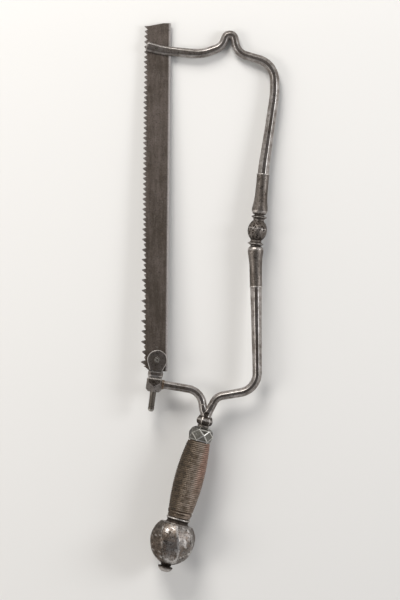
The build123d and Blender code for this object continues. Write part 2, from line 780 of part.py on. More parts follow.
def make_sleeve(name, seat, axis):
    with BuildPart() as part:
        with BuildSketch(section_plane(seat, axis)):
            with BuildLine():
                bore = tenon_radius + driven_gap
                foot = (sleeve_foot_radius, 0)
                belly = (sleeve_belly_radius, sleeve_belly_height)
                middle = (sleeve_middle_radius, sleeve_middle_height)
                rim_low = (sleeve_rim_radius, sleeve_length - sleeve_rim_length)
                rim = (sleeve_rim_radius, sleeve_length)
                Line((bore, 0), foot)
                Spline(foot, belly, middle, rim_low, tangents=[(1, 0.6), (0, 1)])
                Line(rim_low, rim)
                Line(rim, (bore, sleeve_length))
                Line((bore, sleeve_length), (bore, 0))
            make_face()
        revolve(axis=Axis(seat, axis))
    finish(part.part, name)


def add_tenon(start, axis):
    """Add the round tenon that runs from a bar's end through its sleeve into the knop."""
    with BuildSketch(Plane(start, z_dir=axis * -1)) as tenon:
        Circle(tenon_radius)
    extrude(tenon.sketch, amount=sleeve_length + tenon_reach)


def make_lower_bow():
    share = (lower_bar_start.Y - yoke_point.Y - bend_rise) / -lower_axis.Y
    bend = lower_bar_start + lower_axis * share
    with BuildPart() as part:
        points = [lower_bar_start, bend, heel_corner, right_joint]
        bar(points, [bend_radius, heel_radius], lower_bar_widths)
        add_tenon(lower_bar_start, lower_axis)
    finish(part.part, "lower_bow")


def curl_corners():
    """The corner above the curl, and the feet of its left and right legs."""
    left = radians(curl_left_lean)
    right = radians(curl_right_lean)
    left_touch = curl_middle + Vector(-cos(left), sin(left), 0) * curl_radius
    right_touch = curl_middle + Vector(cos(right), sin(right), 0) * curl_radius
    width = right_touch.X - left_touch.X
    lift = right_touch.Y - left_touch.Y
    run = (width + lift * tan(right)) / (tan(left) + tan(right))
    top = left_touch + Vector(run * tan(left), run, 0)
    left_drop = left_touch.Y - hook.Y - curl_left_foot
    left_foot = left_touch - Vector(left_drop * tan(left), left_drop, 0)
    right_drop = right_touch.Y - hook.Y - curl_right_foot
    right_foot = right_touch + Vector(right_drop * tan(right), -right_drop, 0)
    return left_foot, top, right_foot


def make_upper_bow():
    left_foot, curl_top, right_foot = curl_corners()
    with BuildPart() as part:
        points = [
            upper_bar_start,
            upper_bar_start + upper_axis * sleeve_lead,
            back_corner,
            shoulder_corner,
            right_foot,
            curl_top,
            left_foot,
            sag_corner,
            fork_corner,
            hook + Vector(-fork_overhang, fork_tip_rise),
        ]
        radii = [
            lead_radius,
            back_corner_radius,
            shoulder_radius,
            curl_right_radius,
            curl_radius,
            curl_left_radius,
            sag_radius,
            fork_radius,
        ]
        bar(points, radii, upper_bar_widths)
        add_tenon(upper_bar_start, upper_axis)
        fork_root = back_x + fork_root_gap
        fork_length = fork_root - hook.X + 2 * fork_overhang
        with BuildSketch(Plane.XY):
            with Locations((fork_root - fork_length / 2, hook.Y)):
                Rectangle(fork_length, 4 * fork_depth)
        extrude(amount=blade_thickness / 2 + blade_side_gap, both=True, mode=Mode.SUBTRACT)
        for side in (-1, 1):
            with BuildSketch(Plane((0, 0, side * fork_depth / 2), z_dir=(0, 0, side))):
                with Locations((side * (fork_root - fork_length / 2), hook.Y)):
                    Rectangle(fork_length, 4 * fork_depth)
            extrude(amount=fork_depth, mode=Mode.SUBTRACT)
        with BuildSketch(Plane(hook)):
            Circle(hook_pin_radius + driven_gap)
        extrude(amount=fork_depth, both=True, mode=Mode.SUBTRACT)
    finish(part.part, "upper_bow")


def make_hook_pin():
    with BuildPart() as part:
        with BuildSketch(Plane(hook)):
            Circle(hook_pin_radius)
        extrude(amount=fork_depth / 2, both=True)
    finish(part.part, "blade_hook_pin")


# Blade

def blade_outline():
    """Corners of the blade, up the back, across the free end and down the teeth."""
    root_x = back_x - blade_width
    top_y = hook.Y + blade_head
    bottom_y = pivot.Y - blade_tail
    corners = [
        (back_x, bottom_y),
        (back_x, top_y),
        (back_x - head_flat, top_y),
        (root_x - head_corner_reach, top_y - head_slope),
        (root_x, top_y - head_slope - tooth_pitch * tooth_tip_share),
    ]
    first_root = corners[-1][1]
    count = int((first_root - bottom_y - tail_corner) / tooth_pitch)
    for number in range(count):
        high = first_root - number * tooth_pitch
        depth = tooth_depth
        if number > count * (1 - coarse_share):
            depth += long_tooth_extra if number % 2 else -short_tooth_loss
        corners.append((root_x - depth, high - tooth_pitch * tooth_tip_share))
        corners.append((root_x, high - tooth_pitch))
    corners.append((root_x + tail_corner, bottom_y))
    return corners


def make_blade():
    with BuildPart() as part:
        with BuildSketch():
            with BuildLine():
                Polyline(*blade_outline(), close=True)
            make_face()
            with Locations(pivot):
                Circle(clevis_pin_radius + running_gap, mode=Mode.SUBTRACT)
            slot_high = hook.Y + hook_pin_radius + hook_gap
            slot_low = hook.Y - hook_pin_radius - hook_gap - slide_travel
            slot_in = hook.X - hook_pin_radius - hook_gap
            slot_out = back_x + hook_pin_radius
            with Locations(((slot_in + slot_out) / 2, (slot_low + slot_high) / 2)):
                Rectangle(slot_out - slot_in, slot_high - slot_low, mode=Mode.SUBTRACT)
        extrude(amount=blade_thickness / 2, both=True)
    finish(part.part, "blade")


os.makedirs("parts", exist_ok=True)
make_end_button()
make_pommel()
make_pommel_collar()
make_grip_core()
make_winding("wire_binding", *main_winding)
make_winding("end_binding", *end_winding)
make_grip_ferrule()
make_neck_ring()
make_yoke_bead()
make_yoke()
make_tension_clevis()
make_clevis_pin()
make_clevis_pin_washers()
make_eye_block()
make_lower_arm()
make_arm_braze()
make_centre_knop()
make_sleeve("upper_sleeve", upper_seat, upper_axis)
make_sleeve("lower_sleeve", lower_seat, lower_axis)
make_lower_bow()
make_upper_bow()
make_hook_pin()
make_blade()
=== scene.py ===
import json
from math import cos, pi, radians, sin, sqrt, tan

import bmesh
import bpy
from mathutils import Matrix, Vector, noise


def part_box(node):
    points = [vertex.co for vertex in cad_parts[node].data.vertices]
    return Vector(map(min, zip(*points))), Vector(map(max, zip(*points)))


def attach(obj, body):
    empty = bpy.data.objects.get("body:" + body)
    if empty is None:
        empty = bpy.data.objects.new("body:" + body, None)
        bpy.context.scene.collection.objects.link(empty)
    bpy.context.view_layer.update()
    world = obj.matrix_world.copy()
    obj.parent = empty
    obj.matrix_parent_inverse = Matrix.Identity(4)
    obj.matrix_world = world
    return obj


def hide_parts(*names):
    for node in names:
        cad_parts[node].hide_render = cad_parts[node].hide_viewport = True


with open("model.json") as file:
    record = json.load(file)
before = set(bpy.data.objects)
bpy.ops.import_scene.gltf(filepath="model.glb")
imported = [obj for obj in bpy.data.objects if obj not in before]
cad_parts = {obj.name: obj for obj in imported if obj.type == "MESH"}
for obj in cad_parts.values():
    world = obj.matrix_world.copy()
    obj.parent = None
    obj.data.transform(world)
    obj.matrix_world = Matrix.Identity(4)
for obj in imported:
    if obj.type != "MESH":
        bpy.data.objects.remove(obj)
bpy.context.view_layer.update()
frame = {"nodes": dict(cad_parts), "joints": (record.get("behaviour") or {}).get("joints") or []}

# Amputation saw, lying flat with its photographed side up. +Y runs along the blade, +X towards the bow.
mm = 0.001
joints = {joint["name"]: joint for joint in frame["joints"]}
up = Vector((0, 0, 1))

# What the pieces share: where the handle stands, and the heights along it
saw = {
    "handleLean": radians(14.5),
    "pommelLow": 8.2 * mm,
    "pommelTop": 48.8 * mm,
    "collarTop": 55.2 * mm,
    "gripTop": 134.6 * mm,
    "ferruleTop": 149.1 * mm,
    "ringTop": 151.5 * mm,
    "beadTop": 158.1 * mm,
}
handleAxis = Vector((sin(saw["handleLean"]), cos(saw["handleLean"]), 0))
handleSide = Vector((cos(saw["handleLean"]), -sin(saw["handleLean"]), 0))
yokePoint = handleAxis * saw["beadTop"]
pivot = Vector(joints["blade_swing"]["pos_m"])
clevisAxis = Vector(joints["tension_slide"]["axis"]).normalized()
clevisSide = clevisAxis.cross(up)
hook = (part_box("blade_hook_pin")[0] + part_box("blade_hook_pin")[1]) / 2
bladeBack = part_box("blade")[1].x


def leaning(degrees):
    return Vector((sin(radians(degrees)), cos(radians(degrees)), 0))


# Shader and geometry maths, written as expressions

class Flow:
    def __init__(self, graph, socket):
        self.graph = graph
        self.socket = socket

    def maths(self, operation, *others):
        return self.graph.add("ShaderNodeMath", {"operation": operation}, dict(enumerate([self, *others])))

    def __add__(self, other):
        return self.maths("ADD", other)

    def __radd__(self, other):
        return self.graph.number(other).maths("ADD", self)

    def __sub__(self, other):
        return self.maths("SUBTRACT", other)

    def __rsub__(self, other):
        return self.graph.number(other).maths("SUBTRACT", self)

    def __mul__(self, other):
        return self.maths("MULTIPLY", other)

    def __rmul__(self, other):
        return self.graph.number(other).maths("MULTIPLY", self)

    def __truediv__(self, other):
        return self.maths("DIVIDE", other)

    def __mod__(self, other):
        return self.maths("FLOORED_MODULO", other)

    def other(self, name):
        return Flow(self.graph, self.socket.node.outputs[name])

    def clamped(self):
        return self.maths("MAXIMUM", 0.0).maths("MINIMUM", 1.0)

    def over(self, low, high):
        # 0 below low, 1 above high
        return ((self - low) / (high - low)).clamped()


class Number:
    def __init__(self, graph, value):
        self.graph = graph
        self.value = value

    def maths(self, operation, *others):
        operands = [self.value, *others]
        return self.graph.add("ShaderNodeMath", {"operation": operation}, dict(enumerate(operands)))


class Graph:
    def __init__(self, tree):
        self.tree = tree

    def number(self, value):
        return Number(self, value)

    def add(self, kind, settings=None, inputs=None, out=0):
        node = self.tree.nodes.new(kind)
        for key, value in (settings or {}).items():
            if key == "stops":
                ramp = node.color_ramp
                while len(ramp.elements) < len(value):
                    ramp.elements.new(0.5)
                for element, (place, colour) in zip(ramp.elements, value):
                    element.position = place
                    element.color = (*colour, 1)
            else:
                setattr(node, key, value)
        self.feed(node, inputs or {})
        return Flow(self, node.outputs[out])

    def feed(self, node, inputs):
        for key, value in inputs.items():
            if isinstance(value, Flow):
                self.tree.links.new(value.socket, node.inputs[key])
            else:
                node.inputs[key].default_value = value

    def mix(self, share, first, second):
        # colours, by sockets: 0 factor, 6 and 7 the colours, output 2
        colours = [value if isinstance(value, Flow) else (*value, 1) for value in (first, second)]
        return self.add("ShaderNodeMix", {"data_type": "RGBA"}, {0: share, 6: colours[0], 7: colours[1]}, 2)

    def layered(self, colour, look, layers):
        for share, tone in layers:
            colour = self.mix(share.clamped(), colour, look[tone])
        return colour

    def dot(self, place, axis):
        return self.add("ShaderNodeVectorMath", {"operation": "DOT_PRODUCT"}, {0: place, 1: axis}, 1)

    def bump(self, height, strength, distance):
        inputs = {"Height": height, "Strength": strength, "Distance": distance}
        return self.add("ShaderNodeBump", None, inputs)

    def noise(self, place, scale, detail, rough=0.55, seed=0.0):
        inputs = {"Vector": place, "W": seed, "Scale": scale, "Detail": detail, "Roughness": rough}
        return self.add("ShaderNodeTexNoise", {"noise_dimensions": "4D"}, inputs)

    def mapped(self, place, scale, turn=(0, 0, 0)):
        return self.add("ShaderNodeMapping", None, {"Vector": place, "Scale": scale, "Rotation": turn})


# Camera and studio first

camera = {
    "distance": 2.5,         # far back, so that the saw is seen almost square on
    "frameHeight": 0.6,      # what the frame takes in at the saw
    "middle": (0.0331, 0.2715),
    "roll": 0.58,            # degrees
    "sensor": 24.0,
}


def setCamera():
    data = bpy.data.cameras.new("camera")
    data.sensor_fit = "VERTICAL"
    data.sensor_height = camera["sensor"]
    data.sensor_width = camera["sensor"]
    data.lens = camera["sensor"] * camera["distance"] / camera["frameHeight"]
    data.clip_end = 20
    eye = bpy.data.objects.new("camera", data)
    eye.location = (*camera["middle"], camera["distance"])
    eye.rotation_euler = (0, 0, radians(camera["roll"]))
    bpy.context.scene.collection.objects.link(eye)
    bpy.context.scene.camera = eye


studio = {
    "horizon": (1.02, 1.00, 0.98),     # bright all round, dark overhead, as between low soft boxes
    "zenith": (0.13, 0.13, 0.14),
    "brightBelow": 0.20,               # sine of the height above the horizon
    "darkAbove": 0.74,
    "floor": (0.73, 0.72, 0.70),
    "floorRough": 0.8,
    "speckle": 0.985,                  # its darker spots
    "floorSize": 4.0,
    "bowRest": -4.3,                   # mm, height of the floor under the bow's far bend
    "bowInset": 8.0,                   # mm, from there to the bow's end
    "crest": 0.06,                     # half the length of its crest behind the bow
    "lamps": [
        # name, place, size, power, colour
        ("key", (-0.5, 1.9, 1.2), 1.0, 38.0, (1.0, 0.98, 0.95)),
        ("side", (1.8, 0.5, 1.0), 0.8, 17.0, (0.95, 0.97, 1.0)),
        ("left", (-1.5, 0.1, 1.1), 0.8, 12.0, (1.0, 0.97, 0.93)),
    ],
}


def setLamps():
    target = Vector((*camera["middle"], 0))
    for name, place, size, power, colour in studio["lamps"]:
        data = bpy.data.lights.new(name, "AREA")
        data.shape = "DISK"
        data.size = size
        data.energy = power
        data.color = colour
        lamp = bpy.data.objects.new(name, data)
        lamp.location = place
        lamp.rotation_euler = (target - Vector(place)).to_track_quat("-Z", "Y").to_euler()
        bpy.context.scene.collection.objects.link(lamp)
    world = bpy.data.worlds.new("studio")
    bpy.context.scene.world = world
    world.use_nodes = True
    graph = Graph(world.node_tree)
    heading = graph.add("ShaderNodeTexCoord")
    rise = graph.add("ShaderNodeSeparateXYZ", None, {"Vector": heading}, 2)
    shade = rise.over(studio["brightBelow"], studio["darkAbove"])
    colour = graph.mix(shade, studio["horizon"], studio["zenith"])
    graph.feed(world.node_tree.nodes["Background"], {"Color": colour})
    bpy.context.scene.view_settings.view_transform = "Standard"


# Finishes

finishes = {
    "blade_steel": {
        "steel": (0.150, 0.122, 0.106), "patina": (0.062, 0.048, 0.037), "dark": (0.022, 0.016, 0.012),
        "bright": (0.41, 0.385, 0.37), "rust": (0.105, 0.062, 0.046), "rustShare": 0.05, "mottle": 0.95,
        "spots": 0.25, "grain": (260, 30, 260), "rough": 0.42, "pits": 0.5, "scratch": 0.7, "metal": 0.6,
        # darker towards the bottom, near the clevis
        "bump": 0.22, "darkerTowards": (Vector((0, -1, 0)), -0.46, -0.22, 0.35),
    },
    "forged_iron": {
        "steel": (0.218, 0.196, 0.181), "patina": (0.103, 0.086, 0.073), "dark": (0.026, 0.019, 0.014),
        "bright": (0.50, 0.475, 0.455), "rust": (0.12, 0.073, 0.047), "rustShare": 0.05, "mottle": 0.9,
        "spots": 0.45, "grain": (160, 60, 160), "rough": 0.31, "pits": 0.6, "scratch": 0.5, "metal": 0.92,
        "bump": 0.26,
    },
    "turned_iron": {
        "steel": (0.188, 0.166, 0.149), "patina": (0.080, 0.066, 0.054), "dark": (0.020, 0.014, 0.010),
        "bright": (0.56, 0.525, 0.495), "rust": (0.115, 0.071, 0.045), "rustShare": 0.05, "mottle": 1.45,
        "spots": 0.75, "grain": (340, 36, 340), "rough": 0.38, "pits": 0.9, "scratch": 0.4, "metal": 0.88,
        "bump": 0.38,
    },
    "ferrule_iron": {
        "steel": (0.170, 0.164, 0.146), "patina": (0.092, 0.090, 0.076), "dark": (0.026, 0.022, 0.017),
        "bright": (0.88, 0.86, 0.82), "rust": (0.10, 0.070, 0.050), "rustShare": 0.04, "mottle": 1.0,
        "spots": 0.5, "grain": (200, 200, 200), "rough": 0.34, "pits": 0.6, "scratch": 0.3, "metal": 0.88,
        "bump": 0.3,
    },
    "pommel_iron": {
        "steel": (0.275, 0.258, 0.245), "patina": (0.105, 0.089, 0.075), "dark": (0.030, 0.022, 0.016),
        "bright": (0.66, 0.64, 0.62), "rust": (0.13, 0.083, 0.055), "rustShare": 0.17, "mottle": 1.8,
        "spots": 0.7, "grain": (120, 120, 120), "rough": 0.34, "pits": 1.2, "scratch": 0.5, "metal": 0.88,
        # darker towards its left side
        "bump": 0.48, "darkerTowards": (handleSide * -1, 0.003, 0.012, 0.9), "darkerTowardsDepth": 0.28,
    },
    "pin_steel": {
        "steel": (0.112, 0.097, 0.082), "patina": (0.064, 0.053, 0.041), "dark": (0.014, 0.011, 0.009),
        "bright": (0.50, 0.475, 0.44), "rust": (0.09, 0.057, 0.035), "rustShare": 0.06, "mottle": 0.9,
        "spots": 0.5, "grain": (200, 90, 200), "rough": 0.36, "pits": 0.5, "scratch": 0.3, "metal": 0.75,
        "bump": 0.25,
    },
    "braze_brass": {
        "steel": (0.135, 0.092, 0.062), "patina": (0.070, 0.044, 0.028), "dark": (0.026, 0.016, 0.010),
        "bright": (0.34, 0.28, 0.22), "rust": (0.085, 0.050, 0.028), "rustShare": 0.2, "mottle": 1.0,
        "spots": 0.5, "grain": (200, 200, 200), "rough": 0.44, "pits": 0.9, "scratch": 0.2, "metal": 0.65,
        "bump": 0.5,
    },
}


# noise textures, finest last: scale, detail, roughness, seed
textures = {
    "iron": [(48, 6, 0.62, 0.0), (260, 5, 0.65, 3.0), (900, 3, 0.6, 5.0)],
    "wire": [(70, 5, 0.6, 0.0), (200, 4, 0.6, 6.0), (900, 3, 0.6, 4.0)],
    "scratches": {"scale": (2600, 70, 900), "lean": radians(8)},
    "pits": 520.0,
}


def newMaterial(name):
    # the material, its graph, its surface and the object's own coordinates
    material = bpy.data.materials.new(name)
    material.use_nodes = True
    graph = Graph(material.node_tree)
    shader = material.node_tree.nodes["Principled BSDF"]
    return material, graph, shader, graph.add("ShaderNodeTexCoord", out=3)


def ironMaterial(name):
    look = finishes[name]
    material, graph, shader, place = newMaterial(name)
    wear = graph.add("ShaderNodeAttribute", {"attribute_name": "wear"}, out=2)
    # positive values: scuffed edges and painted highlights; negative ones: painted shade on broad faces, and
    # darker creases, pits and spans
    wornAndLit = wear.over(0.15, 0.95)
    paintedShadeAndCreases = (0.0 - wear).over(0.1, 0.9)
    broad, middling, fine = (graph.noise(place, *texture) for texture in textures["iron"])
    grain = graph.noise(graph.mapped(place, look["grain"]), 1.0, 4, 0.6, 7.0)
    cuts = textures["scratches"]
    scratches = graph.noise(graph.mapped(place, cuts["scale"], (0, 0, cuts["lean"])), 1.0, 2, 0.5, 9.0)
    pits = graph.add("ShaderNodeTexVoronoi", None, {"Vector": place, "Scale": textures["pits"]})
    pitted = (0.36 - pits).over(0.0, 0.2) * middling.over(0.44, 0.60) * look["pits"]
    patina = (broad * 0.35 + grain * 0.30 + middling * 0.35).over(0.43, 0.57)
    rusty = (middling * 0.55 + broad * 0.45).over(0.64 - look["rustShare"], 0.76 - look["rustShare"])
    mottle = middling * 0.6 + fine * 0.4
    shade = (0.49 - mottle).over(0.0, 0.11) * 0.75 * look["mottle"] * (1.0 - wornAndLit * 0.7)
    # darker towards one side: its heading, where it begins and ends, and how much more patina; and how much
    # darker still
    if "darkerTowards" in look:
        heading, low, high, share = look["darkerTowards"]
        away = graph.dot(place, heading).over(low, high)
        patina = (patina + away * share).clamped()
        shade = shade + away * look.get("darkerTowardsDepth", 0.0)
    colour = graph.layered(graph.mix(patina, look["steel"], look["patina"]), look, [
        (rusty * 0.6, "rust"),
        (mottle.over(0.56, 0.68) * look["spots"], "bright"),
        (scratches.over(0.60, 0.72) * 0.2 * look["scratch"], "bright"),
        (wornAndLit * (0.25 + fine * 0.75), "bright"),
        (pitted + shade + paintedShadeAndCreases * 0.8, "dark")])
    rough = look["rough"] + patina * 0.10 + fine * 0.08 + paintedShadeAndCreases * 0.15 + pitted * 0.2 - wornAndLit * 0.08
    height = grain * 0.30 + middling * 0.5 + fine * 0.22 - pitted * 1.1 + scratches * 0.12
    graph.feed(shader, {
        "Base Color": colour, "Roughness": rough, "Metallic": look["metal"],
        "Normal": graph.bump(height, look["bump"], 0.4 * mm)})
    return material


wireLook = {
    "copper": (0.140, 0.100, 0.064),
    "olive": (0.050, 0.038, 0.027),
    "grey": (0.335, 0.280, 0.235),
    "red": (0.330, 0.195, 0.148),
    "dark": (0.018, 0.013, 0.009),
    "rough": 0.40,
    "metal": 0.7,
    "streaks": (110.0, 620.0, 110.0),    # long across the handle, short along it
}


def wireMaterial():
    look = wireLook
    material, graph, shader, place = newMaterial("binding_wire")
    across, along, high = (graph.dot(place, axis) for axis in (handleSide, handleAxis, up))
    scaled = {key: flow * scale for key, flow, scale in zip("XYZ", (across, along, high), look["streaks"])}
    streak = graph.noise(graph.add("ShaderNodeCombineXYZ", None, scaled), 1.0, 3, 0.6, 8.0)
    broad, middling, fine = (graph.noise(place, *texture) for texture in textures["wire"])
    patch = middling * 0.55 + streak * 0.45
    right = (across + broad * 0.006).over(0.0075, 0.0125)
    left = (0.003 - across - broad * 0.006).over(0.0, 0.007)
    upper = along.over(0.080, 0.105)
    # painted sheen: lighter grey from the grip's middle rightwards, with fewer olive spots there
    sheen = (across + broad * 0.004).over(-0.004, 0.003)
    spots = (0.5 - patch).over(0.0, 0.08)
    colour = graph.layered(look["copper"], look, [
        (patch.over(0.36, 0.62) * (0.12 + sheen * 0.8), "grey"),
        (right * (0.12 + upper * 0.6), "red"),
        (left * 0.62 + spots * (0.75 - sheen * 0.5), "olive"),
        (fine.over(0.52, 0.66) * (0.25 + left * 0.7), "dark")])
    rough = look["rough"] + fine * 0.15 + left * 0.1
    graph.feed(shader, {
        "Base Color": colour, "Roughness": rough, "Metallic": look["metal"],
        "Normal": graph.bump(fine, 0.25, 0.2 * mm)})
    return material


woodLook = {
    "fibre": (900, 60, 900),
    "stops": [(0.3, (0.055, 0.032, 0.018)), (0.7, (0.13, 0.078, 0.042))],
    "rough": 0.62,
}


def woodMaterial():
    material, graph, shader, place = newMaterial("grip_wood")
    fibre = graph.noise(graph.mapped(place, woodLook["fibre"], (0, 0, saw["handleLean"])), 1.0, 4, 0.6)
    broad = graph.noise(place, 120, 3, 0.5, 2.0)
    colour = graph.add("ShaderNodeValToRGB", {"stops": woodLook["stops"]}, {0: fibre * 0.7 + broad * 0.3})
    bump = graph.bump(fibre, 0.3, 0.3 * mm)
    graph.feed(shader, {"Base Color": colour, "Roughness": woodLook["rough"], "Normal": bump})
    return material


def floorMaterial():
    material, graph, shader, place = newMaterial("studio_floor")
    pale = Vector(studio["floor"])
    colour = graph.mix(graph.noise(place, 3.0, 3, 0.5), tuple(pale * studio["speckle"]), tuple(pale))
    graph.feed(shader, {"Base Color": colour, "Roughness": studio["floorRough"]})
    return material


materials = {name: ironMaterial(name) for name in finishes}
materials["binding_wire"] = wireMaterial()
materials["grip_wood"] = woodMaterial()
materials["studio_floor"] = floorMaterial()
print("materials made:", len(materials))


# Mesh tools

def newPiece(name, mesh, finish, node=None, body="frame"):
    piece = bpy.data.objects.new(name, mesh)
    bpy.context.scene.collection.objects.link(piece)
    mesh.materials.clear()
    mesh.materials.append(materials[finish])
    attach(piece, body)
    if node:
        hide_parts(node)
    return piece


def meshOf(name, points, faces, wear):
    mesh = bpy.data.meshes.new(name)
    mesh.from_pydata(points, [], faces)
    mesh.update()
    attribute = mesh.attributes.new("wear", "FLOAT", "POINT")
    attribute.data.foreach_set("value", wear)
    mesh.shade_smooth()
    return mesh


meshing = {
    "roundStops": 72,                  # points round a turned piece
    # places of the points across a flat, from corner to corner
    "flatStops": (-0.98, -0.94, -0.87, -0.75, -0.4, 0.0, 0.4, 0.75, 0.87, 0.94, 0.98, 1.0),
    "cornerSteps": 4,                  # in each rounded corner
    "barStep": 1.2,                    # mm along a bar
    "barRounding": 0.55,
    "barUneven": 0.10,
    # painted highlight on the chamfer flats, painted shade on the front, back and sides
    "barFlatLight": (0.4, -0.15, 0.4, -0.1) * 2,    # of its eight flats
    "tipLeans": (0, 25, 50, 70, 85),   # degrees round a bar's rounded tip
    "rodSides": 32,
    "scoopSides": (24, 14),
    "bevelWeld": 5e-6,
    "nodeWeld": 2e-6,
    "creased": 34,                     # degrees from which a bevelled piece's edges look sharp
}


def facetStops(sides):
    # angles round a section: even on a round one, crowded towards the corners on one with flats
    if sides == 0:
        return [2 * pi * k / meshing["roundStops"] for k in range(meshing["roundStops"])]
    half = pi / sides
    return [half * (2 * side + share) for side in range(sides) for share in meshing["flatStops"]]


def facetSection(angle, sides, soft, band=0.2):
    # distance from the middle against the flats' own, and how worn that spot is
    if sides == 0:
        return 1.0, 0.0
    half = pi / sides
    away = (angle + half) % (2 * half) - half
    sharp = 1 / cos(away)
    corner = 1 / cos(half)
    cap = corner - soft * (corner - 1)
    blend = 0.5 * soft * (corner - 1)
    near = max(blend - abs(sharp - cap), 0) / blend
    radius = min(sharp, cap) - near * near * blend / 4
    wornAndLit = min(max(1 - (half - abs(away)) / (half * band), 0), 1)
    return radius, wornAndLit


def retoned(mesh, rule):
    # the value of the scuff and painted light attribute at each point, changed by a rule of (spot, value)
    spread = mesh.attributes["wear"]
    values = [rule(vert.co, item.value) for vert, item in zip(mesh.vertices, spread.data)]
    spread.data.foreach_set("value", values)


def opened(mesh):
    shell = bmesh.new()
    shell.from_mesh(mesh)
    return shell


def closed(shell, mesh):
    shell.to_mesh(mesh)
    shell.free()
    return mesh


def skin(name, rings, wears):
    # closes a run of rings into one shell, with a fan at each end
    count = len(rings[0])
    points = [point for ring in rings for point in ring]
    wear = [value for ring in wears for value in ring]
    faces = []
    for row in range(len(rings) - 1):
        for k in range(count):
            after = (k + 1) % count
            low = row * count
            high = low + count
            faces.append((low + k, low + after, high + after, high + k))
    for ring, row, flip in ((rings[0], 0, True), (rings[-1], len(rings) - 1, False)):
        middle = len(points)
        points.append(sum(ring, Vector()) / count)
        wear.append(0.0)
        for k in range(count):
            pair = (row * count + k, row * count + (k + 1) % count)
            faces.append((middle, *reversed(pair)) if flip else (middle, *pair))
    mesh = meshOf(name, points, faces, wear)
    shell = opened(mesh)
    bmesh.ops.recalc_face_normals(shell, faces=shell.faces)
    return closed(shell, mesh)


def softCorner(before, corner, after, reach, share, steps):
    # spots on the curve that rounds a corner; reach along each side, at most this share of it
    first = (before - corner).normalized() * min(reach, (before - corner).length * share)
    last = (after - corner).normalized() * min(reach, (after - corner).length * share)
    shares = [step / steps for step in range(steps + 1)]
    return [corner + first * (1 - t) ** 2 + last * t ** 2 for t in shares]


def softProfile(corners, size):
    # (height, radius) corners with each one rounded, as (height, radius, wear)
    steps = meshing["cornerSteps"]
    out = [(*corners[0], 0.0)]
    for before, corner, after in zip(corners, corners[1:], corners[2:]):
        a, b, c = Vector(before), Vector(corner), Vector(after)
        turn = (b - a).cross(c - b)
        bend = max(0.0, 1 - (b - a).normalized().dot((c - b).normalized()))
        wear = min(bend * 1.6, 1.0) * (1 if turn < 0 else -1)
        for step, spot in enumerate(softCorner(a, b, c, size, 0.45, steps)):
            out.append((spot.x, spot.y, wear * sin(pi * (step + 0.5) / (steps + 1))))
    out.append((*corners[-1], 0.0))
    return out


def brightDarkSpans(profile, spans):
    # (from, to, level) spans of height set brighter or darker
    out = []
    for height, radius, wear in profile:
        for low, high, level in spans:
            if low * mm <= height <= high * mm:
                wear = level
        out.append((height, radius, wear))
    return out


def turnedProfile(look):
    # the profile of a piece, from its dictionary in mm
    corners = [(height * mm, radius * mm) for height, radius in look["profile"]]
    return softProfile(corners, look["rounding"] * mm)


def lathe(name, profile, origin, axis, side, sides=0, soft=0.5, turn=0.0, swirl=0.0, rough=0.0, band=0.2,
          ridges=(1,)):
    front = axis.cross(side) * -1
    stops = facetStops(sides)
    rings, wears = [], []
    for height, radius, wornAndLit in profile:
        ring, wear = [], []
        for stop in stops:
            share, ridge = facetSection(stop, sides, soft, band)
            ridge *= ridges[int(stop * sides / (2 * pi)) % len(ridges)]
            angle = stop + turn + swirl * height
            out = side * cos(angle) + front * sin(angle)
            spot = origin + axis * height
            shake = noise.noise((spot + out * radius) * 180) * rough
            ring.append(spot + out * (radius * share + shake))
            wear.append(wornAndLit if abs(wornAndLit) > ridge else ridge)
        rings.append(ring)
        wears.append(wear)
    return skin(name, rings, wears)


def handleLathe(name, profile, height, **form):
    return lathe(name, profile, handleAxis * height, handleAxis, handleSide, **form)


def filletPath(corners, radii, step):
    # spots along straight runs and tangent arcs, each with its heading
    spots = []
    corners = [Vector(corner) for corner in corners]
    start = corners[0]
    for number, radius in enumerate(radii):
        before, corner, after = corners[number:number + 3]
        incoming = (corner - before).normalized()
        outgoing = (after - corner).normalized()
        turn = incoming.angle(outgoing)
        reach = radius * tan(turn / 2)
        foot = corner - incoming * reach
        runSteps = max(int((foot - start).length / step), 1)
        spots += [(start.lerp(foot, k / runSteps), incoming) for k in range(runSteps)]
        way = 1 if incoming.cross(outgoing).z > 0 else -1
        centre = foot + up.cross(incoming) * (radius * way)
        arcSteps = max(int(radius * turn / step), 6)
        for k in range(arcSteps):
            spin = Matrix.Rotation(way * turn * k / arcSteps, 3, "Z")
            spots.append((centre + spin @ (foot - centre), spin @ incoming))
        start = corner + outgoing * reach
    last = corners[-1]
    heading = (last - start).normalized()
    runSteps = max(int((last - start).length / step), 1)
    spots += [(start.lerp(last, k / runSteps), heading) for k in range(runSteps + 1)]
    return spots


def widthAt(stations, share):
    for (low, first), (high, second) in zip(stations, stations[1:]):
        if share <= high:
            t = (share - low) / (high - low)
            t = t * t * (3 - 2 * t)
            return first + (second - first) * t
    return stations[-1][1]


def mirrored(quarter):
    # the eight corners of a section, from the two in one quarter
    half = quarter + [(-x, y) for x, y in reversed(quarter)]
    return half + [(-x, -y) for x, y in half]


def chamferedSection(wide, deep, cut):
    # (across, up, wear) round a bar: a square with its corners cut, and the edges of the cuts rounded
    across, high = wide / 2, deep / 2
    leg = cut * min(wide, deep)
    corners = [Vector(corner) for corner in mirrored([(across, high - leg), (across - leg, high)])]
    flats = meshing["barFlatLight"]
    steps = meshing["cornerSteps"]
    ring = []
    for number, corner in enumerate(corners):
        before, after = corners[number - 1], corners[(number + 1) % 8]
        curve = softCorner(before, corner, after, meshing["barRounding"] * mm, 0.42, steps)
        for step, spot in enumerate(curve):
            t = step / steps
            level = flats[number - 1] * (1 - t) + flats[number] * t
            ring.append((spot.x, spot.y, level + (0.95 - level) * sin(pi * t)))
        middle = corner + (after - corner) * 0.5
        ring.append((middle.x, middle.y, flats[number]))
    return ring


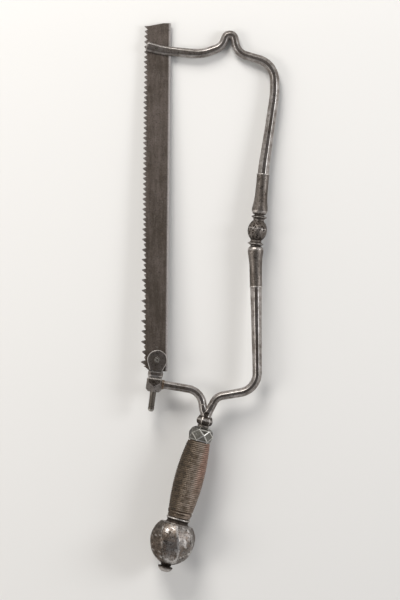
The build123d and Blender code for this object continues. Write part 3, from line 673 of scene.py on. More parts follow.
def barMesh(name, corners, radii, look, step=meshing["barStep"]):
    # a bar along a route in the plane, its size and chamfers from its dictionary
    uneven = meshing["barUneven"] * mm
    tip = look.get("tip", 0.0) * mm
    spots = filletPath(corners, [radius * mm for radius in radii], step * mm)
    lengths = [0.0]
    for (first, _), (second, _) in zip(spots, spots[1:]):
        lengths.append(lengths[-1] + (second - first).length)
    stations = []
    for (place, heading), length in zip(spots, lengths):
        stations.append((place, heading, length / lengths[-1], 0.0))
    if tip:
        place, heading, share, _ = stations.pop()
        while (stations[-1][0] - place).length < tip:
            stations.pop()
        for angle in meshing["tipLeans"]:
            lean = radians(angle)
            stations.append((place - heading * tip * (1 - sin(lean)), heading, share, tip * (1 - cos(lean))))
    rings, wears = [], []
    for place, heading, share, shrink in stations:
        wide = widthAt(look["widths"], share) * mm
        deep = widthAt(look.get("depths", look["widths"]), share) * mm
        cut = widthAt(look["cuts"], share)
        side = heading.cross(up)
        ring, wear = [], []
        for across, high, wornAndLit in chamferedSection(wide - 2 * shrink, deep - 2 * shrink, cut):
            spot = place + side * across + up * high
            out = (side * across + up * high).normalized()
            shake = noise.noise(spot * 45) * uneven + noise.noise(spot * 260) * uneven * 0.35
            ring.append(spot + out * shake)
            wornAndLit += 0.45 * noise.noise(spot * 150) + 0.45 * noise.noise(spot * 420)
            wear.append(max(wornAndLit, 0.9) if shrink > 0.2 * mm else wornAndLit)
        rings.append(ring)
        wears.append(wear)
    return skin(name, rings, wears)


def rodMesh(centre, radius, half):
    shell = bmesh.new()
    bmesh.ops.create_cone(
        shell, cap_ends=True, segments=meshing["rodSides"], radius1=radius, radius2=radius, depth=2 * half)
    bmesh.ops.translate(shell, verts=shell.verts, vec=centre)
    return closed(shell, bpy.data.meshes.new("rod"))


def scoopMesh(centre, radius):
    shell = bmesh.new()
    around, rows = meshing["scoopSides"]
    bmesh.ops.create_uvsphere(shell, u_segments=around, v_segments=rows, radius=radius)
    bmesh.ops.translate(shell, verts=shell.verts, vec=centre)
    return closed(shell, bpy.data.meshes.new("scoop"))


def darkenedCreases(mesh, angle, pits=(), radius=0.0):
    # darker where two forms meet in a concave edge, and in pits
    shell = opened(mesh)
    wear = shell.verts.layers.float["wear"]
    for edge in shell.edges:
        if len(edge.link_faces) == 2 and not edge.is_convex and edge.calc_face_angle(0) > radians(angle):
            edge.smooth = False
            for vert in edge.verts:
                vert[wear] = -1.0
    for vert in shell.verts:
        if any((vert.co - pit).length < radius * 1.01 for pit in pits):
            vert[wear] = -1.0
    return closed(shell, mesh)


def applied(piece, name):
    # a loose piece's mesh with its modifiers in it; the piece itself goes
    graph = bpy.context.evaluated_depsgraph_get()
    graph.update()
    mesh = bpy.data.meshes.new_from_object(piece.evaluated_get(graph), depsgraph=graph)
    mesh.name = name
    bpy.data.objects.remove(piece)
    return mesh


def loose(mesh):
    piece = bpy.data.objects.new(mesh.name, mesh)
    bpy.context.scene.collection.objects.link(piece)
    return piece


def combined(mesh, others, operation):
    # a boolean of the mesh with each of the others
    piece = loose(mesh)
    tools = [loose(other) for other in others]
    for tool in tools:
        modifier = piece.modifiers.new("cut", "BOOLEAN")
        modifier.operation = operation
        modifier.solver = "EXACT"
        modifier.object = tool
    result = applied(piece, mesh.name)
    for tool in tools:
        bpy.data.objects.remove(tool)
    return result


def boxMesh(low, high):
    corners = [(x, y, z) for x in (low[0], high[0]) for y in (low[1], high[1]) for z in (low[2], high[2])]
    faces = [(0, 1, 3, 2), (4, 6, 7, 5), (0, 4, 5, 1), (2, 3, 7, 6), (0, 2, 6, 4), (1, 5, 7, 3)]
    return meshOf("cutter", corners, faces, [0.0] * 8)


def flatShaded(mesh):
    # broad faces stay flat right up to their rounded edges
    piece = loose(mesh)
    weighted = piece.modifiers.new("normals", "WEIGHTED_NORMAL")
    weighted.keep_sharp = True
    return applied(piece, mesh.name)


def cleaned(mesh, weld):
    # points that touch welded, and flat runs of faces made one
    shell = opened(mesh)
    bmesh.ops.remove_doubles(shell, verts=shell.verts, dist=weld)
    bmesh.ops.dissolve_limit(shell, angle_limit=radians(1.0), verts=shell.verts, edges=shell.edges)
    return shell


def slanting(normal):
    return 0.25 < abs(normal.z) < 0.96


def slantsLitFlatsShaded(normal, _):
    # slanting faces painted bright as a highlight, broad ones painted darker as shade
    return 0.5 if slanting(normal) else -0.35


def bevelled(node, name, width, angle, cutters=(), added=(), tone=slantsLitFlatsShaded):
    # a copy of a CAD node with its edges rounded and marked as worn
    mesh = frame["nodes"][node].data.copy()
    mesh.name = name
    closed(cleaned(mesh, meshing["nodeWeld"]), mesh)
    if cutters:
        mesh = combined(mesh, cutters, "DIFFERENCE")
    if added:
        mesh = combined(mesh, added, "UNION")
    if "wear" in mesh.attributes:
        mesh.attributes.remove(mesh.attributes["wear"])
    shell = cleaned(mesh, meshing["bevelWeld"])
    wear = shell.faces.layers.float.new("wear")
    sharp = []
    for edge in shell.edges:
        if len(edge.link_faces) == 2 and edge.calc_face_angle(0) > radians(angle):
            sharp.append(edge)
    convex = [edge for edge in sharp if edge.is_convex]
    made = bmesh.ops.bevel(
        shell, geom=convex, offset=width * mm, offset_type="OFFSET", segments=2, profile=0.5,
        affect="EDGES", clamp_overlap=True)
    for face in shell.faces:
        face.smooth = True
        face[wear] = tone(face.normal, face.calc_center_median())
    for face in made["faces"]:
        face[wear] = 0.9
    closed(shell, mesh)
    mesh.set_sharp_from_angle(angle=radians(meshing["creased"]))
    return flatShaded(mesh)


# Handle, from the butt up

button = {
    "profile": [(0, 0.2), (0, 3.6), (0.9, 5.2), (2.4, 6.6), (4.4, 7.45), (5.2, 7.4), (5.0, 6.4), (4.7, 5.0),
                (5.6, 4.6), (6.6, 5.1), (7.4, 5.5), (8.2, 5.6), (8.2, 3)],
    "rounding": 0.4,
    "brightDarkSpans": [(0.3, 3.6, 1.0), (4.4, 8.2, -0.9)],
    "rough": 0.08,
}


def makeButton():
    profile = brightDarkSpans(turnedProfile(button), button["brightDarkSpans"])
    mesh = handleLathe("butt_button", profile, 0, rough=button["rough"] * mm)
    newPiece("butt_button", mesh, "turned_iron", "end_button")


pommel = {
    "radius": 21.76,         # middle of the axis to the middle of each flat
    "equator": 23.0,
    "length": 40.6,
    "bottomRadius": 6.0,
    "topRadius": 15.5,
    "sides": 8,
    "frontTurn": 6.0,        # degrees that the front flat is turned
    "swirl": 0.85,           # degrees for each millimetre up
    "soft": 0.34,            # how far the ridges are rounded over
    "ridgeBand": 0.26,
    "ridges": (0.5, 0.95, 0.34, 0.3, 0.4, 0.4, 0.4, 0.4),
    "rough": 0.12,
    # places painted bright as highlights, partly polished by the hand, on the front and the back: along,
    # across, radius, level
    "rubbedHighlights": [(43.4, -8.0, 3.4, 0.4), (14.6, -7.0, 3.0, 0.4), (14.0, 5.4, 5.4, 1.1), (12.6, 0.5, 4.0, 0.7)],
    "highlightSteep": 1.7,
    "highlightBroken": 4,        # how much noise breaks it up
    "highlightNoise": 260,
    "rings": 46,
    "bottomEdge": (0.97, 0.6),    # share of the end's radius, and wear
    "topEdge": (0.98, 0.7),
}


def pommelRadius(height):
    # two round arcs that meet at the widest place
    equator = pommel["equator"]
    if height < equator:
        reach, end = equator, pommel["bottomRadius"]
    else:
        reach, end = pommel["length"] - equator, pommel["topRadius"]
    drop = pommel["radius"] - end
    arc = (reach * reach + drop * drop) / (2 * drop)
    away = abs(height - equator)
    return pommel["radius"] - arc + sqrt(arc * arc - away * away)


def makePommel():
    profile = []
    rings = pommel["rings"]
    for k in range(rings + 1):
        height = pommel["length"] * (0.5 - 0.5 * cos(pi * k / rings))
        profile.append((height * mm, pommelRadius(height) * mm, 0.0))
    for end, (share, wornAndLit) in ((0, pommel["bottomEdge"]), (-1, pommel["topEdge"])):
        height, radius, _ = profile[end]
        profile[end] = (height, radius * share, wornAndLit)
    swirl = radians(pommel["swirl"]) / mm
    turn = radians(pommel["frontTurn"]) - swirl * pommel["equator"] * mm
    mesh = handleLathe(
        "pommel_ball", profile, saw["pommelLow"], sides=pommel["sides"], soft=pommel["soft"], turn=turn,
        swirl=swirl, rough=pommel["rough"] * mm, band=pommel["ridgeBand"], ridges=pommel["ridges"])

    # painted highlights, partly polished by the hand, broken up by noise
    def rubbedHighlights(spot, wear):
        broken = pommel["highlightSteep"] + pommel["highlightBroken"] * noise.noise(spot * pommel["highlightNoise"])
        for along, across, radius, level in pommel["rubbedHighlights"]:
            away = Vector((spot.dot(handleAxis) / mm - along, spot.dot(handleSide) / mm - across)).length
            wear = max(wear, (1 - away / radius) * broken * level)
        return min(wear, 1)

    retoned(mesh, rubbedHighlights)
    newPiece("pommel_ball", mesh, "pommel_iron", "pommel")


collar = {
    "profile": [(0, 3), (0, 12.0), (0.5, 12.0), (1.6, 11.0), (3.2, 10.5), (4.6, 11.2), (5.2, 12.2),
                (6.4, 12.0), (6.4, 3)],
    "rounding": 0.45,
    "brightDarkSpans": [(1.2, 4.5, -0.9), (4.9, 6.0, 0.95)],
    "rough": 0.08,
}


def makeCollar():
    profile = brightDarkSpans(turnedProfile(collar), collar["brightDarkSpans"])
    mesh = handleLathe("pommel_neck", profile, saw["pommelTop"], rough=collar["rough"] * mm)
    newPiece("pommel_neck", mesh, "turned_iron", "pommel_collar")


grip = {
    "endRadius": 11.2,
    "middleRadius": 14.8,
    "length": (saw["gripTop"] - saw["collarTop"]) / mm,
    "coreInset": 1.824,      # of the barrel, under the wire's outside
    "coreRings": 30,
    "coreBore": 3,
    # first the long one, then three thin end turns and two thick ones that cross
    # turns, wire, its start and end above the collar, tilt, unevenness, lift off the barrel's ends
    "runs": [
        (38, 1.9, 7.3, 78.8, 0.0, 0.10, 0.0),
        (3, 1.2, 0.75, 3.8, 0.2, 0.25, 0.0),
        (1.15, 1.35, 5.4, 5.6, 0.75, 0.3, 0.1),
        (1.15, 1.35, 5.4, 5.6, -0.75, 0.3, 0.55),
    ],
}


def gripRadius(height):
    # height above the collar, on one arc through both ends and the middle
    half = grip["length"] / 2
    rise = grip["middleRadius"] - grip["endRadius"]
    arc = (half * half + rise * rise) / (2 * rise)
    return grip["middleRadius"] - arc + sqrt(arc * arc - (height - half) ** 2)


def makeCore():
    length, rings, bore = grip["length"], grip["coreRings"], grip["coreBore"] * mm
    profile = [(0.0, bore, 0.0)]
    for height in (length * k / rings for k in range(rings + 1)):
        profile.append((height * mm, (gripRadius(height) - grip["coreInset"]) * mm, 0.0))
    profile.append((length * mm, bore, 0.0))
    mesh = handleLathe("grip_barrel", profile, saw["collarTop"])
    newPiece("grip_barrel", mesh, "grip_wood", "grip_core")


def newTree(name, labels):
    # a geometry tree with a number for each label and a finish, and a way to read them
    tree = bpy.data.node_groups.new(name, "GeometryNodeTree")
    for label in labels:
        tree.interface.new_socket(label, in_out="INPUT", socket_type="NodeSocketFloat")
    tree.interface.new_socket("Finish", in_out="INPUT", socket_type="NodeSocketMaterial")
    tree.interface.new_socket("Geometry", in_out="OUTPUT", socket_type="NodeSocketGeometry")
    graph = Graph(tree)
    ins = tree.nodes.new("NodeGroupInput")
    return graph, lambda label: Flow(graph, ins.outputs[label])


def endTree(graph, solid, finish):
    solid = graph.add("GeometryNodeRealizeInstances", None, {"Geometry": solid})
    solid = graph.add("GeometryNodeSetMaterial", None, {"Geometry": solid, "Material": finish})
    graph.feed(graph.tree.nodes.new("NodeGroupOutput"), {"Geometry": solid})
    return graph.tree


winding = {
    "samples": 40.0,         # to a turn
    "fade": 4.0,             # each end sinks into the barrel over a quarter of a turn
    "sink": 1.3,             # and this many wires deep
    "pace": 0.9,             # of the wobble, to a radian
    "stray": 1.5,            # its height against its depth
    "sides": 8,
}


def windingTree():
    # one wire wound on a barrel whose side is a parabola through its ends and middle
    graph, given = newTree("winding", [
        "Turns", "Wire", "Low", "High", "Barrel Middle", "Barrel Half", "End Radius", "Middle Radius",
        "Tilt", "Start", "Unevenness"])
    line = graph.add("GeometryNodeCurvePrimitiveLine")
    count = given("Turns") * winding["samples"] + 1.0
    line = graph.add("GeometryNodeResampleCurve", None, {"Curve": line, "Count": count})
    along = graph.add("GeometryNodeSplineParameter")
    angle = along * given("Turns") * (2 * pi) + given("Start")
    height = given("Low") + along * (given("High") - given("Low")) + angle.maths("COSINE") * given("Tilt")
    away = (height - given("Barrel Middle")) / given("Barrel Half")
    radius = given("Middle Radius") - (given("Middle Radius") - given("End Radius")) * away * away
    inwards = (along * given("Turns")).maths("MINIMUM", (1.0 - along) * given("Turns"))
    ends = (1.0 - inwards * winding["fade"]).clamped()
    waves = {"W": angle * winding["pace"], "Scale": 1.0, "Detail": 2.0}
    wobble = (graph.add("ShaderNodeTexNoise", {"noise_dimensions": "1D"}, waves) - 0.5) * given("Unevenness")
    radius = radius - given("Wire") * 0.5 - ends * given("Wire") * winding["sink"] + wobble
    height = height + wobble * winding["stray"]
    ring = {"X": radius * angle.maths("COSINE"), "Y": radius * angle.maths("SINE"), "Z": height}
    spot = graph.add("ShaderNodeCombineXYZ", None, ring)
    wire = graph.add("GeometryNodeSetPosition", None, {"Geometry": line, "Position": spot})
    section = {"Resolution": winding["sides"], "Radius": given("Wire") * 0.5}
    section = graph.add("GeometryNodeCurvePrimitiveCircle", None, section)
    swept = {"Curve": wire, "Profile Curve": section, "Fill Caps": True}
    solid = graph.add("GeometryNodeCurveToMesh", None, swept)
    solid = graph.add("GeometryNodeSetShadeSmooth", None, {"Geometry": solid})
    return endTree(graph, solid, given("Finish"))


def grown(tree, values, name):
    # the plain mesh that a tree makes with these values
    piece = loose(bpy.data.meshes.new(name))
    modifier = piece.modifiers.new("make", "NODES")
    modifier.node_group = tree
    sockets = {item.name: item.identifier for item in tree.interface.items_tree if item.in_out == "INPUT"}
    for label, value in values.items():
        modifier[sockets[label]] = value
    return applied(piece, name)


def placed(origin, across, along, rise):
    # from a frame with these axes to the saw's
    return Matrix.Translation(origin) @ Matrix((across, along, rise)).transposed().to_4x4()


def makeWinding():
    tree = windingTree()
    length = grip["length"]
    meshes = []
    for turns, wire, low, high, tilt, unevenness, lift in grip["runs"]:
        meshes.append(grown(tree, {
            "Turns": turns, "Wire": wire * mm, "Low": low * mm, "High": high * mm, "Tilt": tilt * mm,
            "Unevenness": unevenness * mm, "Barrel Middle": length / 2 * mm, "Barrel Half": length / 2 * mm,
            "End Radius": (grip["endRadius"] + lift) * mm, "Middle Radius": grip["middleRadius"] * mm,
            "Start": pi / 2, "Finish": materials["binding_wire"]}, "wire"))
    joined = opened(meshes[1])
    for mesh in meshes[2:]:
        joined.from_mesh(mesh)
    closed(joined, meshes[1])
    meshes[1].shade_smooth()
    for mesh, name, node in zip(meshes, ("grip_wire", "grip_end_turns"), ("wire_binding", "end_binding")):
        mesh.name = name
        mesh.transform(placed(handleAxis * saw["collarTop"], handleSide, up * -1, handleAxis))
        newPiece(name, mesh, "binding_wire", node)


ferrule = {
    "sides": 6,
    "bandRadius": 11.5,      # to the corners, as are the others
    "lowHeight": 1.0,
    "lowRadius": 11.6,
    "middleHeight": 7.2,
    "apexHeight": 12.2,
    "apexRadius": 10.95,
    "mouthRadius": 7.0,
    "height": 14.5,
    "frontTurn": 16.0,       # degrees that the front lozenge is turned
    "edge": 0.5,
    "ridge": 0.95,           # how worn its edges are
    "shade": -0.4,           # and the flats between them
    "spread": 0.3,
    "dullFrom": -3.0,        # to the left of this its edges are dull
    "dull": 0.3,
}
struck = {
    "flat": 1.5,             # degrees up to which neighbours count as one facet
    "inset": 0.8,            # of the edge's width, round each facet
    "edgeNoise": 300,
    "edgeSpread": 1.2,
    "facetNoise": 700,
    "middleNoise": 900,
    "push": (0.6, -0.4),     # how far out a facet's middle is pushed, by chance and always
}


def facetShell(name, rings, origin, axis, side, turn, look):
    # rings of (height, corner radius, half steps round): triangles where neighbours are half a step apart
    front = axis.cross(side) * -1
    sides, edge = look["sides"], look["edge"]
    shell = bmesh.new()
    wear = shell.verts.layers.float.new("wear")
    rows = []
    for height, radius, shift in rings:
        row = []
        for k in range(sides):
            angle = turn + 2 * pi * (k + shift / 2) / sides
            out = side * cos(angle) + front * sin(angle)
            row.append(shell.verts.new(origin + axis * (height * mm) + out * (radius * mm)))
        rows.append(row)
    for (low, high), (first, second) in zip(zip(rows, rows[1:]), zip(rings, rings[1:])):
        for k in range(sides):
            after = (k + 1) % sides
            if first[2] == second[2]:
                shell.faces.new((low[k], low[after], high[after], high[k]))
            elif second[2] > first[2]:
                shell.faces.new((low[k], low[after], high[k]))
                shell.faces.new((low[after], high[after], high[k]))
            else:
                shell.faces.new((low[k], low[after], high[after]))
                shell.faces.new((low[k], high[after], high[k]))
    shell.faces.new(rows[0])
    shell.faces.new(rows[-1])
    bmesh.ops.recalc_face_normals(shell, faces=shell.faces)
    flat = radians(struck["flat"])
    bmesh.ops.dissolve_limit(shell, angle_limit=flat, verts=shell.verts, edges=shell.edges)
    made = bmesh.ops.bevel(
        shell, geom=list(shell.edges), offset=edge * mm, offset_type="OFFSET", segments=3, profile=0.5,
        affect="EDGES", clamp_overlap=True)
    ridges = set(made["faces"])
    flats = [face for face in shell.faces if face not in ridges]
    inset = edge * struck["inset"] * mm
    bmesh.ops.inset_individual(shell, faces=flats, thickness=inset, use_even_offset=True)
    for face in shell.faces:
        face.smooth = True
    for face in ridges:
        for vert in face.verts:
            vert[wear] = look["ridge"] + noise.noise(vert.co * struck["edgeNoise"]) * struck["edgeSpread"]
    for face in flats:
        chance = noise.cell(face.calc_center_median() * struck["facetNoise"])
        level = look["shade"] + chance * look["spread"]
        for vert in face.verts:
            vert[wear] = level
    if "dish" in look:
        # each flat struck in or left standing
        normals = [(face.calc_center_median(), face.normal.copy()) for face in flats]
        byChance, always = struck["push"]
        for vert in bmesh.ops.poke(shell, faces=flats)["verts"]:
            normal = min(normals, key=lambda pair: (pair[0] - vert.co).length)[1]
            chance = noise.cell(vert.co * struck["middleNoise"])
            vert[wear] = look["shade"] + chance * look["spread"]
            vert.co += normal * ((chance * byChance + always) * look["dish"] * mm)
    return closed(shell, bpy.data.meshes.new(name))


def makeFerrule():
    # flat lozenges: their side corners lie on the plane through the low and the high one
    low, middle, apex = ferrule["lowHeight"], ferrule["middleHeight"], ferrule["apexHeight"]
    share = (middle - low) / (apex - low)
    flat = ferrule["lowRadius"] + (ferrule["apexRadius"] - ferrule["lowRadius"]) * share
    rings = [
        (0.0, ferrule["bandRadius"], 1),
        (low, ferrule["lowRadius"], 1),
        (middle, flat / cos(pi / ferrule["sides"]), 0),
        (apex, ferrule["apexRadius"], 1),
        (ferrule["height"], ferrule["mouthRadius"], 1),
    ]
    turn = radians(90 - 180 / ferrule["sides"] + ferrule["frontTurn"])
    origin = handleAxis * saw["gripTop"]
    mesh = flatShaded(facetShell("ferrule_cap", rings, origin, handleAxis, handleSide, turn, ferrule))
    dullFrom = ferrule["dullFrom"] * mm
    retoned(mesh, lambda spot, wear: min(wear, ferrule["dull"]) if spot.dot(handleSide) < dullFrom else wear)
    newPiece("ferrule_cap", mesh, "ferrule_iron", "grip_ferrule")


neckRing = {
    "profile": [(0, 3), (0, 5.2), (0.7, 5.9), (1.6, 5.9), (2.4, 5.3), (2.4, 3)],
    "rounding": 0.35,
    "rough": 0.15,
}
neckBead = {
    "profile": [(0, 3), (0, 5.6), (0.9, 6.7), (3.0, 7.35), (5.0, 7.45), (7.2, 6.5), (9.0, 5.6), (9.0, 3)],
    "rounding": 0.4,
    "sides": 6,
    "soft": 0.3,
    "turn": -9.0,
    "brightDarkSpans": [(0.3, 1.2, -0.8), (1.2, 4.2, -0.6), (4.4, 5.6, 1.0), (5.8, 7.0, -0.1), (7.4, 9.0, -0.9)],
    "rough": 0.06,
}


def makeNeck():
    profile = turnedProfile(neckRing)
    mesh = handleLathe("neck_washer", profile, saw["ferruleTop"], rough=neckRing["rough"] * mm)
    newPiece("neck_washer", mesh, "turned_iron", "neck_ring")
    profile = brightDarkSpans(turnedProfile(neckBead), neckBead["brightDarkSpans"])
    mesh = handleLathe(
        "neck_bead", profile, saw["ringTop"], sides=neckBead["sides"], soft=neckBead["soft"],
        turn=radians(90 + neckBead["turn"]), rough=neckBead["rough"] * mm)
    newPiece("neck_bead", mesh, "turned_iron", "yoke_bead")


# Frame bars

yoke = {
    "leftHorn": (-1.9, 8.1),
    "rightHorn": (4.4, 9.2),
    "rootHeight": 4.0,
    "hornLength": 6.3,
    "hornRadius": 12.0,
    "rootRadius": 8.0,
    "widths": [(0, 8.1), (0.35, 8.5), (0.75, 10.4), (1, 11.6)],
    "cuts": [(0, 0.29), (0.6, 0.27), (1, 0.25)],
    "step": 0.6,
    "pitHeight": 4.6,
    "pitRise": 6.0,
    "pitRadius": 2.3,
    "crease": 16,            # degrees from which a concave edge is darkened
}
arm = {
    "foot": (23.8, 7.8),     # drop and distance from the pivot
    "corner": (-4.7, 27.6),
    "cornerRadius": 17.5,
    "lead": 6.0,
    "leadRadius": 60.0,
    "widths": [(0, 8.0), (0.5, 8.0), (1, 8.1)],
    "cuts": [(0, 0.24), (0.4, 0.28), (1, 0.29)],
}
lowerBow = {
    "heel": (11.3, 21.9),
    "heelRadius": 12.0,
    "bendRise": 29.3,
    "bendRadius": 20.0,
    "widths": [(0, 11.6), (0.35, 10.2), (0.52, 9.6), (0.7, 8.9), (1, 8.1)],
    "cuts": [(0, 0.33), (1, 0.33)],
}
upperBow = {
    "lead": 8.0,
    "leadRadius": 60.0,
    "back": (16.2, -42.9),
    "backRadius": 110.0,
    "shoulder": (15.1, -14.1),
    "shoulderRadius": 22.0,
    "curlRadius": 4.6,
    "curl": (-29.4, 10.3),
    "curlLeans": (20.0, 12.0),
    "curlFeet": (2.8, -3.1),
    "curlFootRadii": (14.0, 15.0),
    "sag": (-57.4, -5.2),
    "sagRadius": 42.0,
    "fork": (4.3, -1.5),
    "forkRadius": 110.0,
    "forkTip": (-10.2, 2.5),
    "forkRoot": 2.4,
    "slot": 2.0,
    "slotReach": 12.0,
    "creased": 40,
    "widths": [(0, 11.2), (0.2, 9.7), (0.42, 9.2), (0.55, 8.3), (0.66, 8.4), (0.8, 9.0), (0.93, 9.1),
               (1, 9.8)],
    "depths": [(0, 11.2), (0.2, 9.7), (0.42, 9.2), (0.55, 8.3), (0.66, 8.4), (0.84, 9.0), (0.92, 7.4),
               (1, 7.4)],
    "cuts": [(0, 0.33), (0.7, 0.31), (0.86, 0.24), (1, 0.2)],
    "tip": 1.3,
    # the fork's tip also carries a painted highlight, on its top face
    "rubbedHighlights": (-10.2, 6.0),       # where the fork's tip is rubbed bright
    "highlightRadius": 3.6,
    "highlightLevel": 1.6,
}
baluster = {
    "bowOffset": 98.65,      # pivot to the bow's line
    "knopRise": 130.5,
    "knopLean": 7.0,
    "knopHalf": 14.4,
    "spool": 1.6,
    "sleeve": 41.0,
    "tucked": 2.0,           # how far a bar begins inside its sleeve
    "upperLean": 4.9,
    "lowerLean": -1.4,
    "profile": [(0, 3.5), (0, 5.7), (1.0, 6.9), (2.6, 7.7), (4.9, 7.9), (8.0, 7.6), (12.0, 6.9), (18.5, 6.3),
                (28, 6.15), (38.6, 6.15), (39.6, 6.2), (40.2, 6.5), (41, 6.3), (41, 3.5)],
    "rounding": 0.45,
    "brightDarkSpans": [(1.4, 3.2, 0.7), (39.9, 41.0, 0.95)],
    "rough": 0.16,
}
bowX = pivot.x + baluster["bowOffset"] * mm
bowLine = Vector((bowX, hook.y, 0))
knopCentre = Vector((bowX, pivot.y + baluster["knopRise"] * mm, 0))
upperAxis = leaning(baluster["upperLean"])
lowerAxis = leaning(baluster["lowerLean"]) * -1
knopReach = leaning(baluster["knopLean"]) * (baluster["knopHalf"] * mm)
upperSeat = knopCentre + knopReach + upperAxis * (baluster["spool"] * mm)
lowerSeat = knopCentre - knopReach + lowerAxis * (baluster["spool"] * mm)


def flatShift(pair):
    return Vector((pair[0] * mm, pair[1] * mm, 0))


def hornCorners():
    left = yokePoint + flatShift(yoke["leftHorn"])
    right = yokePoint + flatShift(yoke["rightHorn"])
    armCorner = yokePoint + flatShift(arm["corner"])
    heel = yokePoint + flatShift(lowerBow["heel"])
    leftJoint = left + (armCorner - left).normalized() * (yoke["hornLength"] * mm)
    rightJoint = right + (heel - right).normalized() * (yoke["hornLength"] * mm)
    return left, right, armCorner, heel, leftJoint, rightJoint


def makeYoke():
    left, right, _, _, leftJoint, rightJoint = hornCorners()
    root = yokePoint + handleAxis * (yoke["rootHeight"] * mm)
    radii = [yoke["hornRadius"], yoke["rootRadius"]]
    horns = []
    for name, joint, corner in (("fork_of_frame", leftJoint, left), ("right_horn", rightJoint, right)):
        horns.append(barMesh(name, [joint, corner, root, yokePoint], radii, yoke, yoke["step"]))
    mesh = combined(horns[0], horns[1:], "UNION")
    pitPlace = yokePoint + handleAxis * (yoke["pitHeight"] * mm)
    pits = [pitPlace + up * (face * yoke["pitRise"] * mm) for face in (-1, 1)]
    mesh = combined(mesh, [scoopMesh(pit, yoke["pitRadius"] * mm) for pit in pits], "DIFFERENCE")
    darkenedCreases(mesh, yoke["crease"], pits, yoke["pitRadius"] * mm)
    newPiece("fork_of_frame", mesh, "forged_iron", "yoke")


def makeArm():
    left, _, armCorner, _, leftJoint, _ = hornCorners()
    drop, away = arm["foot"]
    start = pivot - clevisAxis * (drop * mm) + clevisSide * (away * mm)
    corners = [start, start + clevisSide * (arm["lead"] * mm), armCorner, leftJoint]
    mesh = barMesh("blade_arm", corners, [arm["leadRadius"], arm["cornerRadius"]], arm)
    newPiece("blade_arm", mesh, "forged_iron", "lower_arm")


def makeLowerBow():
    _, right, _, heel, _, rightJoint = hornCorners()
    start = lowerSeat + lowerAxis * (baluster["sleeve"] * mm)
    drop = (start.y - yokePoint.y - lowerBow["bendRise"] * mm) / -lowerAxis.y
    bend = start + lowerAxis * drop
    inside = start - lowerAxis * (baluster["tucked"] * mm)
    radii = [lowerBow["bendRadius"], lowerBow["heelRadius"]]
    mesh = barMesh("bow_lower_bar", [inside, bend, heel, rightJoint], radii, lowerBow)
    newPiece("bow_lower_bar", mesh, "forged_iron", "lower_bow")


def curlCorners():
    # the corner above the curl, and the feet of its left and right legs
    middle = bowLine + flatShift(upperBow["curl"])
    left, right = (radians(lean) for lean in upperBow["curlLeans"])
    radius = upperBow["curlRadius"] * mm
    leftTouch = middle + Vector((-cos(left), sin(left), 0)) * radius
    rightTouch = middle + Vector((cos(right), sin(right), 0)) * radius
    width = rightTouch.x - leftTouch.x
    lift = rightTouch.y - leftTouch.y
    run = (width + lift * tan(right)) / (tan(left) + tan(right))
    top = leftTouch + Vector((run * tan(left), run, 0))
    leftDrop = leftTouch.y - hook.y - upperBow["curlFeet"][0] * mm
    leftFoot = leftTouch - Vector((leftDrop * tan(left), leftDrop, 0))
    rightDrop = rightTouch.y - hook.y - upperBow["curlFeet"][1] * mm
    rightFoot = rightTouch + Vector((rightDrop * tan(right), -rightDrop, 0))
    return leftFoot, top, rightFoot


def makeUpperBow():
    leftFoot, top, rightFoot = curlCorners()
    start = upperSeat + upperAxis * (baluster["sleeve"] * mm)
    corners = [
        start - upperAxis * (baluster["tucked"] * mm), start + upperAxis * (upperBow["lead"] * mm),
        bowLine + flatShift(upperBow["back"]), bowLine + flatShift(upperBow["shoulder"]),
        rightFoot, top, leftFoot, bowLine + flatShift(upperBow["sag"]),
        hook + flatShift(upperBow["fork"]), hook + flatShift(upperBow["forkTip"]),
    ]
    radii = [
        upperBow["leadRadius"], upperBow["backRadius"], upperBow["shoulderRadius"],
        upperBow["curlFootRadii"][1], upperBow["curlRadius"], upperBow["curlFootRadii"][0],
        upperBow["sagRadius"], upperBow["forkRadius"],
    ]
    bar = barMesh("bow_upper_bar", corners, radii, upperBow)
    root = bladeBack + upperBow["forkRoot"] * mm
    slotHalf = upperBow["slot"] / 2 * mm
    reach = upperBow["slotReach"] * mm
    slot = boxMesh((hook.x - 2 * reach, hook.y - reach, -slotHalf), (root, hook.y + reach, slotHalf))
    mesh = combined(bar, [slot], "DIFFERENCE")
    mesh.set_sharp_from_angle(angle=radians(upperBow["creased"]))
    middle = hook + flatShift(upperBow["rubbedHighlights"])

    # a painted highlight on the top face round the fork's tip
    def rubbedHighlights(spot, wear):
        share = 1 - (spot - middle).xy.length / (upperBow["highlightRadius"] * mm)
        return max(wear, upperBow["highlightLevel"] * share) if spot.z > 0 else wear

    retoned(mesh, rubbedHighlights)
    newPiece("bow_upper_bar", mesh, "forged_iron", "upper_bow")


def makeSleeves():
    profile = brightDarkSpans(turnedProfile(baluster), baluster["brightDarkSpans"])
    for name, node, seat, axis in (
            ("upper_socket", "upper_sleeve", upperSeat, upperAxis),
            ("lower_socket", "lower_sleeve", lowerSeat, lowerAxis)):
        mesh = lathe(name, profile, seat, axis, axis.cross(up), rough=baluster["rough"] * mm)
        newPiece(name, mesh, "turned_iron", node)


knop = {
    "sides": 13,
    "rings": [(-9.7, 5.4, 0), (-7.7, 7.2, 1), (-5.0, 8.75, 0), (-1.7, 9.65, 1), (1.7, 9.65, 0),
              (5.0, 8.75, 1), (7.7, 7.2, 0), (9.7, 5.4, 1)],
    "edge": 0.16,
    "ridge": 0.9,
    "shade": 0.3,
    "spread": 1.4,
    "dish": 1.0,
    "turn": 8.0,
    "crease": 42,
    # from the middle up; below it's the same
    "flange": [(9.2, 5.2), (10.4, 5.4), (11.5, 5.4), (12.4, 6.6), (13.4, 8.15), (14.0, 7.6), (14.8, 5.6),
               (14.9, 4.9), (17.4, 4.8)],
    "rounding": 0.35,
    "rough": 0.15,
}


